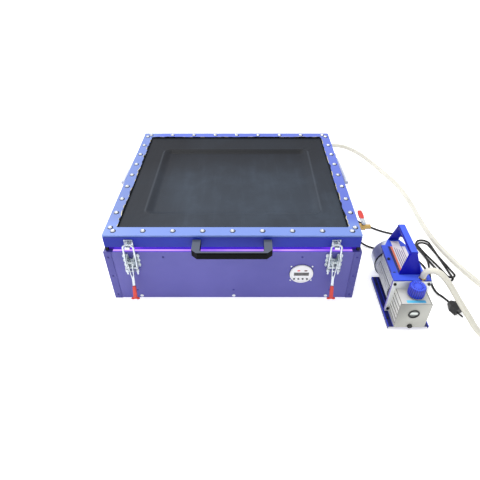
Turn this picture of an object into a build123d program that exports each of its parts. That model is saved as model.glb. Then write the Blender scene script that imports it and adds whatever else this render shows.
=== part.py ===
import math
import os

from build123d import *

# A tabletop vacuum exposure unit for screens, with its vacuum pump beside it.
# Millimetres. X runs left to right, Y front to back and Z up from the bench.
# The origin is the centre of the base box's underside.

# ---- Base box ----
bed_width = 692.0
bed_depth = 624.0
bed_height = 176.0
sheet = 1.5
rim_width = 25.0
corner_strip = 20.0
pan_wall = 18.0
seam = 0.2

# ---- Glass and its seal ----
glass_thick = 6.0
glass_inset = 14.0
seal_height = 6.0
seal_width = 14.0
seal_inset = 2.0
corner_pad = 13.0
pad_gap = 0.5
pad_inset = 6.0

# ---- Light inside ----
tray_level = 58.0
tray_width = 600.0
tray_depth = 520.0
tray_leg = 20.0
led_count = 12
led_width = 10.0
led_length = 500.0
led_height = 2.0
driver_size = (160.0, 60.0, 38.0)
driver_place = (230.0, 200.0)

# ---- Lid ----
lid_inset = 6.0
lid_height = 40.0
lid_wall = 2.0
clamp_thick = 4.0
clamp_front = 35.0
clamp_back = 33.0
clamp_side = 32.0
blanket_thick = 2.5
blanket_edge = 3.0
dish_side = 92.0
dish_front = 100.0
dish_back = 120.0
dish_depth = 9.0
dish_slope = 16.0
dish_corner = 30.0

# ---- Blanket bolts ----
bolts_a_side = 9
bolt_head = 6.25
bolt_head_height = 4.5
bolt_shank = 3.0
bolt_slack = 0.2
front_row = 19.0
back_row = 17.0
side_row = 14.0
front_row_end = 24.5
side_row_front = 34.0
side_row_back = 30.0

# ---- Panel screws ----
screw_head = 3.4
screw_head_height = 1.6
screw_shank = 1.7
screw_length = 8.0
strip_screw_levels = (14.0, 87.0, bed_height - 20.0)
upper_screw_level = bed_height - 20.0
upper_screw_pitch = 188.0
lower_screw_level = 31.0
lower_screw_pitch = 277.0
pan_bolt_level = 7.0
pan_bolt_pitch = 268.0
pan_bolt_head = 5.0

# ---- Timer ----
timer_x = 190.0
timer_z = 96.0
dial_radius = 32.5
dial_proud = 3.0
timer_plate = (74.0, 68.0, 3.0)
timer_case = (50.0, 44.0, 24.0)
window_size = (42.0, 12.0)
window_depth = 1.5
lamp_height = 12.7
lamp_spots = (-8.0, 11.5)
lamp_size = (9.0, 5.0)
button_row = -17.8
button_pitch = 12.0
button_first = -19.2
button_radius = 2.6
button_proud = 2.0
button_travel = 1.0
button_stem = 5.0
button_slack = 0.15
timer_screw_x = 29.0
timer_screw_z = 26.0
timer_screw_head = 2.6

# ---- Hinges ----
hinge_x = 230.0
hinge_width = 80.0
hinge_axis_back = 6.0
hinge_pin = 3.0
knuckle = 5.5
leaf_thick = 2.0
leaf_height = 30.0
lid_leaf_height = 26.0
running_slack = 0.05
side_gap = 0.3

# ---- Side stays ----
stay_offset = 8.0
stay_base_y = 205.0
stay_base_z = bed_height + 16.0
stay_lid_y = -8.0
stay_lid_z = bed_height + 33.0
lid_open_angle = 55.0
stay_tube = 5.5
stay_rod = 2.5
stay_mouth = 38.0
stay_socket_end = 8.0
stay_plate_foot = bed_height - 30.0
stay_eye = 7.0
stay_eye_thick = 5.6
stay_stud = 3.0
stay_plate = 26.0
stay_plate_thick = 2.2
stud_gap = 0.4
piston_radius = 3.9
piston_length = 8.0
piston_back = 20.0
bore_back = 12.0
tube_bore = 4.0
mouth_slack = 0.1

# ---- Latches ----
latch_x = 274.0
latch_pivot_out = 15.5
latch_pivot_z = bed_height - 26.0
trunnion_out = 11.5
trunnion_z = bed_height - 46.0
bail_bar_out = 12.0
bail_bar_z = bed_height + 28.0
bail_leg = 13.75
bail_wire = 2.75
bail_corner = 9.0
bail_tail = 23.0
trunnion_radius = 4.0
trunnion_length = 35.0
nut_size = 9.0
nut_height = 4.0
bracket_width = 46.0
bracket_bottom = bed_height - 52.0
bracket_top = bed_height - 7.0
bracket_plate = 2.0
cheek_inner = 8.0
cheek_outer = 10.0
cheek_nose = 8.0
latch_pin = 3.0
latch_pin_half = 10.6
latch_hole = 1.9
lever_inner = 5.0
lever_outer = 7.0
lever_lean = 16.1
lever_neck = (16.0, 30.0)
strip_thick = 2.5
strip_width = 7.0
strip_end = 95.0
grip_start = 58.0
grip_end = 101.0
grip_width = 11.0
grip_thick = 8.0
grip_flare = 25.0
keeper_width = 23.0
keeper_height = 24.0
keeper_top = bed_height + 38.0
keeper_plate = 2.0
hook_width = 13.0
hook_lip = 3.2
hook_room = 4.6
hook_below = 1.3

# ---- Lid handle ----
handle_half = 104.0
handle_leg = 21.5
handle_reach = 57.0
handle_bottom = bed_height + 18.0
handle_top = bed_height + 38.0
handle_bar = 9.0
handle_chamfer = 16.0

# ---- Release valve ----
valve_y = -238.0
valve_z = bed_height + 29.0
valve_ball_x = 18.0
valve_end_x = 38.0
valve_thread = 7.0
valve_collar = 9.5
valve_body_length = 20.0
valve_nose = 6.5
valve_bore = 4.0
valve_bore_depth = 14.0
valve_stem = 4.0
valve_stem_top = bed_height + 41.0
valve_lever_length = 54.0
valve_lever_width = 11.0
valve_lever_thick = 2.5

# ---- Vacuum pump ----
pump_x = 474.0
base_width = 111.0
base_front = -429.0
base_back = -236.5
base_level = 12.0
base_sheet = 2.0
base_lip = 9.0
foot_radius = 8.0
foot_x = 42.0
foot_inset = 18.0
motor_z = 63.0
motor_front = -348.0
motor_back = -243.0
motor_core = 44.0
motor_fin = 50.0
fin_thick = 2.4
motor_foot = 30.0
fins_a_side = 13
fin_starts = (-52.0, 128.0)
fin_span = 104.0
end_shield_back = -231.0
end_shield_radius = 50.5
cover_radius = 54.0
cover_back = -176.0
cover_wall = 1.5
cover_round = 14.0
cover_slots = 24
cover_slot = (3.0, 14.0)
cover_slot_ring = 27.0
mid_width = 102.0
mid_front = -374.0
mid_thick = 8.0
mid_top = 126.0
head_width = 80.0
chamber_width = 82.0
chamber_front = -432.0
chamber_top = 101.0
chamber_grooves = 5
groove_width = 5.0
groove_depth = 3.0
sight_radius = 15.0
sight_z = 66.0
sight_depth = 3.0
sight_proud = 1.0
drain_radius = 6.5
drain_z = 19.0
drain_length = 4.0
cap_x = 480.0
cap_y = -396.5
cap_radius = 21.5
cap_bottom = 105.0
cap_top = 135.0
cap_wall = 2.5
cap_ribs = 24
neck_radius = 14.0
neck_top = 128.0
fitting_x = 503.0
fitting_y = -362.0
fitting_size = 16.0
fitting_height = 6.0
grip_bar_width = 19.0
grip_bar_front = -337.0
grip_bar_back = -215.0
grip_bar_bottom = 187.0
grip_bar_top = 197.0
saddle_level = 113.0
saddle_thick = 3.0
saddle_rail = 12.0
saddle_half = 44.0
saddle_back = -218.0
rail_height = 9.0
rail_grooves = (91.0, 98.0, 105.0)
rail_groove = 3.2
rail_groove_depth = 4.0
sheet_level = 118.0
sheet_thick = 2.0
sheet_back = -186.0
rear_foot_width = 30.0
leg_foot_width = 62.0
leg_thick = 4.0
leg_top_thick = 8.0
foot_plate_back = -342.0
pump_screw = 4.0
pump_screw_height = 3.0

# ---- Hose and cords ----
hose_size = 16.0
cord_size = 6.5
floor_cord = 3.3
gland_flange = 9.0
gland_nose = 7.0
gland_length = 18.0
gland_flange_thick = 5.0
hose_port_x = 300.0
hose_port_z = 100.0
hose_port_length = 19.5
pump_gland_y = -262.0
pump_gland_z = 45.0
plug_length = 38.0
plug_width = 30.0
plug_height = 22.0
plug_pin = 2.4
plug_pin_length = 19.0
plug_pin_pitch = 19.0
hank_centre = (644.0, -135.0)
hank_lean = 7.5
hank_climb = 6.95
hank_entry = (-33.0, -60.0)
hank_front_1 = (0.0, 98.0, 13.0)
hank_back_1 = (-3.5, -64.0, 22.5)
hank_front_2 = (7.0, 92.0, 13.0)
hank_back_2 = (-14.0, -45.0, 20.0)
hank_exit = (-32.0, 5.0)

hose_route = [
    (300.0, 330.0, 100.0), (300.0, 378.0, 100.0), (322.0, 432.0, 100.0), (378.0, 476.0, 96.0),
    (450.0, 500.0, 80.0), (520.0, 498.0, 50.0), (575.0, 462.0, 22.0), (615.0, 398.0, 8.0),
    (648.0, 300.0, 8.0), (662.0, 170.0, 8.0), (661.0, 40.0, 8.0), (672.0, -70.0, 8.0),
    (706.0, -190.0, 8.0), (758.0, -302.0, 8.0), (816.0, -404.0, 8.0), (806.0, -458.0, 8.0),
    (766.0, -494.0, 8.0), (712.0, -497.0, 8.0), (668.0, -469.0, 9.0), (641.0, -451.0, 28.0),
    (616.0, -434.6, 63.0), (587.0, -416.0, 100.0), (564.3, -401.4, 132.2), (550.2, -392.3, 149.3),
    (534.5, -382.3, 163.8), (521.7, -374.0, 165.9), (510.0, -366.5, 159.6), (503.0, -362.0, 147.0),
    (503.0, -362.0, 132.0),
]
lead_route = [
    (364.0, 84.0, 30.0), (382.0, 84.0, 30.0), (402.0, 80.0, 21.0), (420.0, 72.0, 9.0),
    (438.0, 58.0, 3.3), (457.0, 40.0, 3.3), (478.0, 21.0, 3.3), (503.0, 3.0, 3.3),
    (530.0, -10.0, 3.3), (556.0, -18.0, 3.3), (577.0, -29.0, 3.3), (590.5, -43.5, 3.3),
]
tail_route = [
    (614.0, -177.0, 8.0), (609.0, -203.0, 3.4), (601.0, -233.0, 3.3), (595.0, -264.0, 3.3),
    (597.0, -297.0, 4.0), (607.0, -320.0, 11.0), (617.0, -340.0, 11.0),
]
pump_cord_route = [
    (364.0, -60.0, 40.0), (382.0, -60.0, 40.0), (402.0, -65.0, 28.0), (424.0, -75.0, 9.0),
    (450.0, -88.0, 3.3), (494.0, -105.0, 3.3), (542.0, -117.0, 3.3), (582.0, -142.0, 3.3),
    (600.0, -180.0, 3.3), (597.0, -218.0, 9.0), (580.0, -250.0, 30.0), (558.0, -262.0, 45.0),
    (540.0, -262.0, 45.0),
]

# ---- Levels and places that follow from the sizes above ----
half_width = bed_width / 2
half_depth = bed_depth / 2
panel_y = half_depth - sheet
glass_top = bed_height + glass_thick
lid_bottom = glass_top + seal_height
lid_top = lid_bottom + lid_height
clamp_bottom = lid_top - clamp_thick
blanket_bottom = clamp_bottom - blanket_thick
lid_x = half_width - lid_inset
lid_y = half_depth - lid_inset
opening_x = lid_x - clamp_side
opening_front = -lid_y + clamp_front
opening_back = lid_y - clamp_back
hinge_y = half_depth + hinge_axis_back
hinge_z = bed_height + glass_thick
dial_face = -panel_y - dial_proud
stay_x = half_width + stay_offset
pivot_y = -panel_y - latch_pivot_out
trunnion_y = -panel_y - trunnion_out
bar_y = -lid_y - bail_bar_out


def block(x, y, z, mode=Mode.ADD):
    """A box between two values on each axis."""
    with Locations(((x[0] + x[1]) / 2, (y[0] + y[1]) / 2, (z[0] + z[1]) / 2)):
        Box(x[1] - x[0], y[1] - y[0], z[1] - z[0], mode=mode)


def bar(start, end, radius, mode=Mode.ADD):
    """A round bar from one point to another."""
    line = Vector(*end) - Vector(*start)
    with Locations(Plane(origin=start, z_dir=line)):
        Cylinder(radius, line.length, align=(Align.CENTER, Align.CENTER, Align.MIN), mode=mode)


def hexagon(start, end, across, mode=Mode.ADD):
    """A six-sided bar from one point to another, sized across its flats."""
    line = Vector(*end) - Vector(*start)
    with BuildSketch(Plane(origin=start, z_dir=line)) as outline:
        RegularPolygon(across / math.sqrt(3), 6)
    extrude(outline.sketch, amount=line.length, mode=mode)


def spread(first, last, count):
    """Evenly spaced values, both ends included."""
    return [first + (last - first) * i / (count - 1) for i in range(count)]


# ---- Bolt and screw places ----
row_x = spread(-lid_x + front_row_end, lid_x - front_row_end, bolts_a_side)
row_y = spread(-lid_y + side_row_front, lid_y - side_row_back, bolts_a_side)
bolt_spots = [(x, -lid_y + front_row) for x in row_x]
bolt_spots += [(x, lid_y - back_row) for x in row_x]
bolt_spots += [(side * (lid_x - side_row), y) for side in (-1, 1) for y in row_y]
strip_x = half_width - corner_strip / 2
strip_screws = [(side * strip_x, z) for side in (-1, 1) for z in strip_screw_levels]
front_screws = [(x, upper_screw_level) for x in (-upper_screw_pitch, 0, upper_screw_pitch)]
front_screws += [(x, lower_screw_level) for x in (-lower_screw_pitch, 0, lower_screw_pitch)]
pan_bolts = [(x, pan_bolt_level) for x in (-pan_bolt_pitch, 0, pan_bolt_pitch)]
timer_screws = [(timer_x + i * timer_screw_x, timer_z + j * timer_screw_z) for i in (-1, 1) for j in (-1, 1)]


# ======== Base box ========
with BuildPart() as base_pan:
    pan_x = half_width - sheet
    pan_y = half_depth - 2 * sheet
    block((-pan_x, pan_x), (-pan_y, pan_y), (0, pan_wall))
    block((sheet - pan_x, pan_x - sheet), (sheet - pan_y, pan_y - sheet), (sheet, pan_wall), Mode.SUBTRACT)
    for x, z in pan_bolts + strip_screws:
        if z < pan_wall:
            bar((x, -pan_y - 1, z), (x, sheet - pan_y + 1, z), screw_shank + bolt_slack, Mode.SUBTRACT)
    for x, z in strip_screws:
        if z < pan_wall:
            bar((x, pan_y + 1, z), (x, pan_y - sheet - 1, z), screw_shank + bolt_slack, Mode.SUBTRACT)


def make_side_panel(side):
    """Side sheet with its front and back strips and the rim that the glass lies on."""
    with BuildPart() as panel:
        outer = side * half_width
        inner = side * (half_width - sheet)
        strip = side * (half_width - corner_strip)
        rim = side * (half_width - rim_width)
        block(sorted((outer, inner)), (-half_depth, half_depth), (0, bed_height))
        for end in (-1, 1):
            block(sorted((outer, strip)), sorted((end * half_depth, end * panel_y)), (0, bed_height))
        block(sorted((outer, rim)), (-half_depth, half_depth), (bed_height - sheet, bed_height))
        for x, z in strip_screws:
            if x * side > 0:
                for end in (-1, 1):
                    near = end * (half_depth + 1)
                    far = end * (panel_y - 1)
                    bar((x, near, z), (x, far, z), screw_shank + bolt_slack, Mode.SUBTRACT)
        if side > 0:
            for y, z in (lead_route[0][1:], pump_cord_route[0][1:]):
                bar((inner - 1, y, z), (outer + 1, y, z), gland_nose, Mode.SUBTRACT)
    return panel


def make_end_panel(end):
    """Front or back sheet, behind the side panels' strips, with its share of the rim."""
    with BuildPart() as panel:
        wide = half_width - sheet
        rim_x = half_width - rim_width - seam
        face = end * panel_y
        block((-wide, wide), sorted((face, face - end * sheet)), (0, bed_height - sheet))
        rim_y = end * (half_depth - rim_width)
        block((-rim_x, rim_x), sorted((face, rim_y)), (bed_height - sheet, bed_height))
        spots = list(strip_screws)
        if end < 0:
            spots += front_screws + pan_bolts + timer_screws
        for x, z in spots:
            near = (x, face + end, z)
            bar(near, (x, face - end * (sheet + 1), z), screw_shank + bolt_slack, Mode.SUBTRACT)
        if end < 0:
            front = (timer_x, face - 1, timer_z)
            bar(front, (timer_x, face + sheet + 1, timer_z), dial_radius + seam, Mode.SUBTRACT)
        else:
            front = (hose_port_x, face + 1, hose_port_z)
            bar(front, (hose_port_x, face - sheet - 1, hose_port_z), hose_size / 2, Mode.SUBTRACT)
    return panel


left_side_panel = make_side_panel(-1)
right_side_panel = make_side_panel(1)
front_panel = make_end_panel(-1)
back_panel = make_end_panel(1)


def screw(x, z, end, face, head, head_height, length=screw_length):
    """A round-headed screw whose head lies on the face and whose shank runs inwards."""
    bar((x, end * face, z), (x, end * (face + head_height), z), head)
    bar((x, end * face, z), (x, end * (face - length), z), screw_shank)


with BuildPart() as panel_screws:
    for x, z in strip_screws:
        screw(x, z, -1, half_depth, screw_head, screw_head_height)
        screw(x, z, 1, half_depth, screw_head, screw_head_height)
    for x, z in front_screws:
        screw(x, z, -1, panel_y, screw_head, screw_head_height)

with BuildPart() as zinc_screws:
    for x, z in pan_bolts:
        screw(x, z, -1, panel_y, pan_bolt_head, screw_head_height)
    for x, z in timer_screws:
        screw(x, z, -1, panel_y, timer_screw_head, screw_head_height)

with BuildPart() as glass_plate:
    glass_x = half_width - glass_inset
    glass_y = half_depth - glass_inset
    block((-glass_x, glass_x), (-glass_y, glass_y), (bed_height, glass_top))

with BuildPart() as glass_seal:
    seal_x = glass_x - seal_inset
    seal_y = glass_y - seal_inset
    with BuildSketch(Plane.XY.offset(glass_top)):
        Rectangle(2 * seal_x, 2 * seal_y)
        Rectangle(2 * (seal_x - seal_width), 2 * (seal_y - seal_width), mode=Mode.SUBTRACT)
    extrude(amount=seal_height)
    for i in (-1, 1):
        for j in (-1, 1):
            pad_x = sorted((i * (half_width - pad_inset), i * (glass_x + pad_gap)))
            pad_y = sorted((j * (half_depth - pad_inset), j * (half_depth - pad_inset - corner_pad)))
            block(pad_x, pad_y, (bed_height, lid_bottom))

# ======== Light inside ========
with BuildPart() as light_tray:
    tray_x = tray_width / 2
    tray_y = tray_depth / 2
    block((-tray_x, tray_x), (-tray_y, tray_y), (tray_level, tray_level + sheet))
    for i in (-1, 1):
        for j in (-1, 1):
            leg_x = sorted((i * tray_x, i * (tray_x - tray_leg)))
            leg_y = sorted((j * tray_y, j * (tray_y - tray_leg)))
            block(leg_x, leg_y, (sheet, tray_level))

with BuildPart() as uv_led_strips:
    strip_span = tray_x - led_width - tray_leg
    for x in spread(-strip_span, strip_span, led_count):
        low = tray_level + sheet
        strip_y = (-led_length / 2, led_length / 2)
        block((x - led_width / 2, x + led_width / 2), strip_y, (low, low + led_height))

with BuildPart() as led_driver:
    dx, dy, dz = driver_size
    cx, cy = driver_place
    block((cx - dx / 2, cx + dx / 2), (cy - dy / 2, cy + dy / 2), (sheet, sheet + dz))
    fillet(led_driver.edges().filter_by(Axis.Z), 3)

# ======== Timer ========
button_spots = [timer_x + button_first + button_pitch * i for i in range(4)]
plate_face = -panel_y + sheet
with BuildPart() as timer_body:
    bar((timer_x, dial_face, timer_z), (timer_x, plate_face, timer_z), dial_radius)
    wide, tall, thick = timer_plate
    block((timer_x - wide / 2, timer_x + wide / 2), (plate_face, plate_face + thick),
          (timer_z - tall / 2, timer_z + tall / 2))
    wide, tall, deep = timer_case
    block((timer_x - wide / 2, timer_x + wide / 2), (plate_face, plate_face + thick + deep),
          (timer_z - tall / 2, timer_z + tall / 2))
    for x, z in timer_screws:
        bar((x, plate_face - 1, z), (x, plate_face + thick + 1, z), screw_shank + bolt_slack, Mode.SUBTRACT)
    wide, tall = window_size
    block((timer_x - wide / 2, timer_x + wide / 2), (dial_face, dial_face + window_depth),
          (timer_z - tall / 2, timer_z + tall / 2), Mode.SUBTRACT)
    with BuildSketch(Plane.XZ.offset(-dial_face)):
        with Locations(*[(timer_x + x, timer_z + lamp_height) for x in lamp_spots]):
            Ellipse(lamp_size[0] / 2, lamp_size[1] / 2)
    extrude(amount=-window_depth, mode=Mode.SUBTRACT)
    for x in button_spots:
        z = timer_z + button_row
        deep = dial_face + button_stem + 2 * button_travel
        bar((x, dial_face, z), (x, deep, z), button_radius + button_slack, Mode.SUBTRACT)

with BuildPart() as timer_window:
    wide, tall = window_size
    block((timer_x - wide / 2, timer_x + wide / 2), (dial_face, dial_face + window_depth),
          (timer_z - tall / 2, timer_z + tall / 2))

with BuildPart() as timer_lamps:
    with BuildSketch(Plane.XZ.offset(-dial_face)):
        with Locations(*[(timer_x + x, timer_z + lamp_height) for x in lamp_spots]):
            Ellipse(lamp_size[0] / 2, lamp_size[1] / 2)
    extrude(amount=-window_depth)


def make_button(x):
    """A round push button with its stem in the timer's body."""
    with BuildPart() as button:
        z = timer_z + button_row
        bar((x, dial_face - button_proud, z), (x, dial_face + button_stem, z), button_radius)
        fillet(button.faces().sort_by(Axis.Y)[0].edges(), button_proud / 4)
    return button


buttons = [make_button(x) for x in button_spots]

# ======== Hinges ========
knuckle_third = hinge_width / 3
pin_end = hinge_width / 2
with BuildPart() as base_hinge_leaves:
    for side in (-1, 1):
        x = side * hinge_x
        leaf_y = (panel_y, panel_y + leaf_thick)
        block((x - pin_end, x + pin_end), leaf_y, (hinge_z - leaf_height, hinge_z - knuckle + leaf_thick))
        for end in (-1, 1):
            outer = x + end * pin_end
            inner = x + end * (knuckle_third / 2 + side_gap)
            web_z = (hinge_z - knuckle, hinge_z - knuckle + leaf_thick)
            block(sorted((outer, inner)), (panel_y, hinge_y), web_z)
            bar((inner, hinge_y, hinge_z), (outer, hinge_y, hinge_z), knuckle)
        bar((x - pin_end, hinge_y, hinge_z), (x + pin_end, hinge_y, hinge_z), hinge_pin)

with BuildPart() as lid_hinge_leaves:
    for side in (-1, 1):
        x = side * hinge_x
        half = knuckle_third / 2
        low = lid_bottom + leaf_thick / 2
        block((x - pin_end, x + pin_end), (lid_y, lid_y + leaf_thick), (low, low + lid_leaf_height))
        block((x - half, x + half), (lid_y, hinge_y), (low, low + leaf_thick))
        block((x - half, x + half), (hinge_y - leaf_thick, hinge_y), (hinge_z + hinge_pin, low + leaf_thick))
        pin_ends = ((x - half, hinge_y, hinge_z), (x + half, hinge_y, hinge_z))
        bar(*pin_ends, knuckle)
        bar(*pin_ends, hinge_pin + running_slack, Mode.SUBTRACT)

# ======== Side stays ========
stay_start = Vector(0, stay_base_y, stay_base_z)
stay_line = Vector(0, stay_lid_y, stay_lid_z) - stay_start
stay_length = stay_line.length
stay_way = stay_line.normalized()


def lid_turned(y, z, angle):
    """Where a point of the lid goes when the lid opens by an angle."""
    turn = math.radians(angle)
    ry = y - hinge_y
    rz = z - hinge_z
    new_y = hinge_y + ry * math.cos(turn) + rz * math.sin(turn)
    new_z = hinge_z - ry * math.sin(turn) + rz * math.cos(turn)
    return (new_y, new_z)


open_y, open_z = lid_turned(stay_lid_y, stay_lid_z, lid_open_angle)
open_line = Vector(0, open_y, open_z) - stay_start
stay_stroke = open_line.length - stay_length
stay_swing = math.atan2(open_line.Z, -open_line.Y) - math.atan2(stay_line.Z, -stay_line.Y)
print("stay length", round(stay_length, 2), "stroke", round(stay_stroke, 3))
print("stay swing", round(math.degrees(stay_swing), 3), "way", stay_way)


def stay_point(side, along):
    """A point on a stay's line, measured from its base pivot."""
    spot = stay_start + stay_way * along
    return (side * stay_x, spot.Y, spot.Z)


piston_end = stay_length - piston_back
eye_near = stay_x - stay_eye_thick / 2
eye_far = stay_x + stay_eye_thick / 2
half_plate = stay_plate / 2
with BuildPart() as base_stay_brackets:
    for side in (-1, 1):
        plate_x = sorted((side * half_width, side * (half_width + stay_plate_thick)))
        block(plate_x, (stay_base_y - half_plate, stay_base_y + half_plate),
              (stay_plate_foot, stay_base_z + half_plate))
        stud_end = (side * (eye_far + stud_gap + 2), stay_base_y, stay_base_z)
        bar((side * half_width, stay_base_y, stay_base_z), stud_end, stay_stud)
        bar((side * (eye_far + stud_gap), stay_base_y, stay_base_z), stud_end, stay_stud + 2)

with BuildPart() as lid_stay_brackets:
    for side in (-1, 1):
        plate_x = sorted((side * lid_x, side * (lid_x + stay_plate_thick)))
        block(plate_x, (stay_lid_y - half_plate, stay_lid_y + half_plate),
              (stay_lid_z - half_plate, stay_lid_z + half_plate))
        stud_end = side * (stay_x - stay_tube - stud_gap)
        bar((side * lid_x, stay_lid_y, stay_lid_z), (stud_end, stay_lid_y, stay_lid_z), stay_stud)


def make_stay_rod(side):
    """The thin rod, its eye on the base stud and its piston inside the tube."""
    with BuildPart() as rod:
        eye_ends = ((side * eye_near, stay_base_y, stay_base_z), (side * eye_far, stay_base_y, stay_base_z))
        bar(*eye_ends, stay_eye)
        bar(stay_point(side, stay_eye - 2), stay_point(side, piston_end), stay_rod)
        bar(stay_point(side, piston_end - piston_length), stay_point(side, piston_end), piston_radius)
        bar(*eye_ends, stay_stud + running_slack, Mode.SUBTRACT)
    return rod


def make_stay_tube(side):
    """The fat tube that slides on the rod and ends in the socket for the lid's stud."""
    with BuildPart() as tube:
        bar(stay_point(side, stay_mouth), stay_point(side, stay_length + stay_socket_end), stay_tube)
        bore_start = stay_mouth + piston_length
        bar(stay_point(side, bore_start), stay_point(side, stay_length - bore_back), tube_bore, Mode.SUBTRACT)
        mouth = (stay_point(side, stay_mouth - 1), stay_point(side, bore_start + 1))
        bar(*mouth, stay_rod + mouth_slack, Mode.SUBTRACT)
    return tube


stay_rods = {side: make_stay_rod(side) for side in (-1, 1)}
stay_tubes = {side: make_stay_tube(side) for side in (-1, 1)}

# ======== Latches ========
flange_half = bracket_width / 2
with BuildPart() as latch_brackets:
    for side in (-1, 1):
        x = side * latch_x
        plate_y = (-panel_y - bracket_plate, -panel_y)
        block((x - flange_half, x + flange_half), plate_y, (bracket_bottom, bracket_top))
        for cheek in (-1, 1):
            start = x + cheek * (cheek_inner if cheek > 0 else cheek_outer)
            with BuildSketch(Plane.YZ.offset(start)):
                with BuildLine():
                    Polyline((-panel_y, bracket_top - 2), (pivot_y + 2, latch_pivot_z + cheek_nose),
                             (pivot_y + 2, latch_pivot_z - cheek_nose), (-panel_y, bracket_bottom + 12),
                             close=True)
                make_face()
                with Locations((pivot_y, latch_pivot_z)):
                    Circle(cheek_nose)
            extrude(amount=cheek_outer - cheek_inner)
            hole_x = x + cheek * (cheek_outer + flange_half) / 2
            for z in spread(bracket_bottom + 7, bracket_top - 7, 3):
                outer = (hole_x, -panel_y - bracket_plate - 1, z)
                bar(outer, (hole_x, -panel_y + 1, z), latch_hole, Mode.SUBTRACT)
        notch = (latch_pivot_z, bracket_top)
        block((x - cheek_inner, x + cheek_inner), plate_y, notch, Mode.SUBTRACT)
        pin_start = (x - latch_pin_half, pivot_y, latch_pivot_z)
        bar(pin_start, (x + latch_pin_half, pivot_y, latch_pivot_z), latch_pin)

lever_plane_tilt = math.radians(lever_lean)
lever_up = Vector(0, math.sin(lever_plane_tilt), math.cos(lever_plane_tilt))
lever_out = Vector(0, -math.cos(lever_plane_tilt), math.sin(lever_plane_tilt))


def lever_plane(x):
    """The lever's own plane: X to the right, Y up the lever from the trunnion, Z out of the box."""
    return Plane(origin=(x, trunnion_y, trunnion_z), x_dir=(1, 0, 0), z_dir=lever_out)


def make_latch_lever(side):
    """Two side plates on the pivot and trunnion that run into one strip."""
    x = side * latch_x
    with BuildPart() as lever:
        tip = Vector(0, trunnion_y, trunnion_z) - lever_up * lever_neck[0]
        for plate in (-1, 1):
            start = x + (lever_inner if plate > 0 else -lever_outer)
            with BuildSketch(Plane.YZ.offset(start)) as outline:
                with Locations((pivot_y, latch_pivot_z)):
                    Circle(7)
                with Locations((trunnion_y, trunnion_z)):
                    Circle(6.5)
                with Locations((tip.Y, tip.Z)):
                    Circle(3)
                make_hull(outline.edges())
            extrude(amount=lever_outer - lever_inner)
        with BuildSketch(lever_plane(x)):
            with BuildLine():
                neck_top, neck_low = lever_neck
                Polyline((-lever_outer, -9), (lever_outer, -9), (lever_outer, -neck_top),
                         (strip_width / 2, -neck_low), (strip_width / 2, -strip_end),
                         (-strip_width / 2, -strip_end), (-strip_width / 2, -neck_low),
                         (-lever_outer, -neck_top), close=True)
            make_face()
        extrude(amount=strip_thick / 2, both=True)
        across = (x - lever_outer - 1, x + lever_outer + 1)
        bar((across[0], pivot_y, latch_pivot_z), (across[1], pivot_y, latch_pivot_z),
            latch_pin + running_slack, Mode.SUBTRACT)
        bar((across[0], trunnion_y, trunnion_z), (across[1], trunnion_y, trunnion_z),
            trunnion_radius + running_slack, Mode.SUBTRACT)
    return lever


def make_latch_grip(side):
    """The soft red sleeve with its flared end."""
    x = side * latch_x
    with BuildPart() as grip:
        with BuildSketch(lever_plane(x)):
            with BuildLine():
                half = grip_width / 2
                flare = grip_flare / 2
                Polyline((-half, -grip_start), (half, -grip_start), (half, -grip_end + 8),
                         (flare, -grip_end + 3), (flare, -grip_end), (-flare, -grip_end),
                         (-flare, -grip_end + 3), (-half, -grip_end + 8), close=True)
            make_face()
        extrude(amount=grip_thick / 2, both=True)
        fillet(grip.faces().sort_by(SortBy.AREA)[-2:].edges(), 1.5)
        with BuildSketch(lever_plane(x)):
            with Locations((0, -(grip_start + strip_end) / 2)):
                Rectangle(strip_width, strip_end - grip_start)
        extrude(amount=strip_thick / 2, both=True, mode=Mode.SUBTRACT)
    return grip


def make_bail(side):
    """The bent wire bail, with its trunnion and the two nuts that adjust it."""
    x = side * latch_x
    rise = Vector(0, bar_y - trunnion_y, bail_bar_z - trunnion_z)
    length = rise.length
    out = Vector(0, -rise.Z, rise.Y).normalized()
    plane = Plane(origin=(x, trunnion_y, trunnion_z), x_dir=(1, 0, 0), z_dir=out)
    with BuildPart() as bail:
        with BuildLine(plane) as wire:
            FilletPolyline((-bail_leg, -bail_tail), (-bail_leg, length), (bail_leg, length),
                           (bail_leg, -bail_tail), radius=bail_corner)
        with BuildSketch(Plane(origin=wire.line @ 0, z_dir=wire.line % 0)):
            Circle(bail_wire)
        sweep()
        half = trunnion_length / 2
        bar((x - half, trunnion_y, trunnion_z), (x + half, trunnion_y, trunnion_z), trunnion_radius)
        for leg in (-1, 1):
            for low in (-trunnion_radius - nut_height - 1, -trunnion_radius - 2 * nut_height - 2):
                start = plane.from_local_coords(Vector(leg * bail_leg, low, 0))
                end = plane.from_local_coords(Vector(leg * bail_leg, low + nut_height, 0))
                hexagon(tuple(start), tuple(end), nut_size)
    return bail


latch_levers = {side: make_latch_lever(side) for side in (-1, 1)}
latch_grips = {side: make_latch_grip(side) for side in (-1, 1)}
bails = {side: make_bail(side) for side in (-1, 1)}

with BuildPart() as latch_keepers:
    for side in (-1, 1):
        x = side * latch_x
        keeper_low = keeper_top - keeper_height
        half = keeper_width / 2
        block((x - half, x + half), (-lid_y - keeper_plate, -lid_y), (keeper_low, keeper_top))
        shelf_top = bail_bar_z - bail_wire - hook_below
        lip_y = bar_y - bail_wire - hook_room
        hook_x = (x - hook_width / 2, x + hook_width / 2)
        block(hook_x, (lip_y - keeper_plate, -lid_y), (shelf_top - strip_thick, shelf_top))
        block(hook_x, (lip_y - keeper_plate, lip_y), (shelf_top - strip_thick, shelf_top + hook_lip))
        for i in (-1, 0, 1):
            hole_x = x + i * keeper_width / 3.3
            outer = (hole_x, -lid_y - keeper_plate - 1, keeper_top - 4)
            bar(outer, (hole_x, -lid_y + 1, keeper_top - 4), latch_hole, Mode.SUBTRACT)

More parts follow.
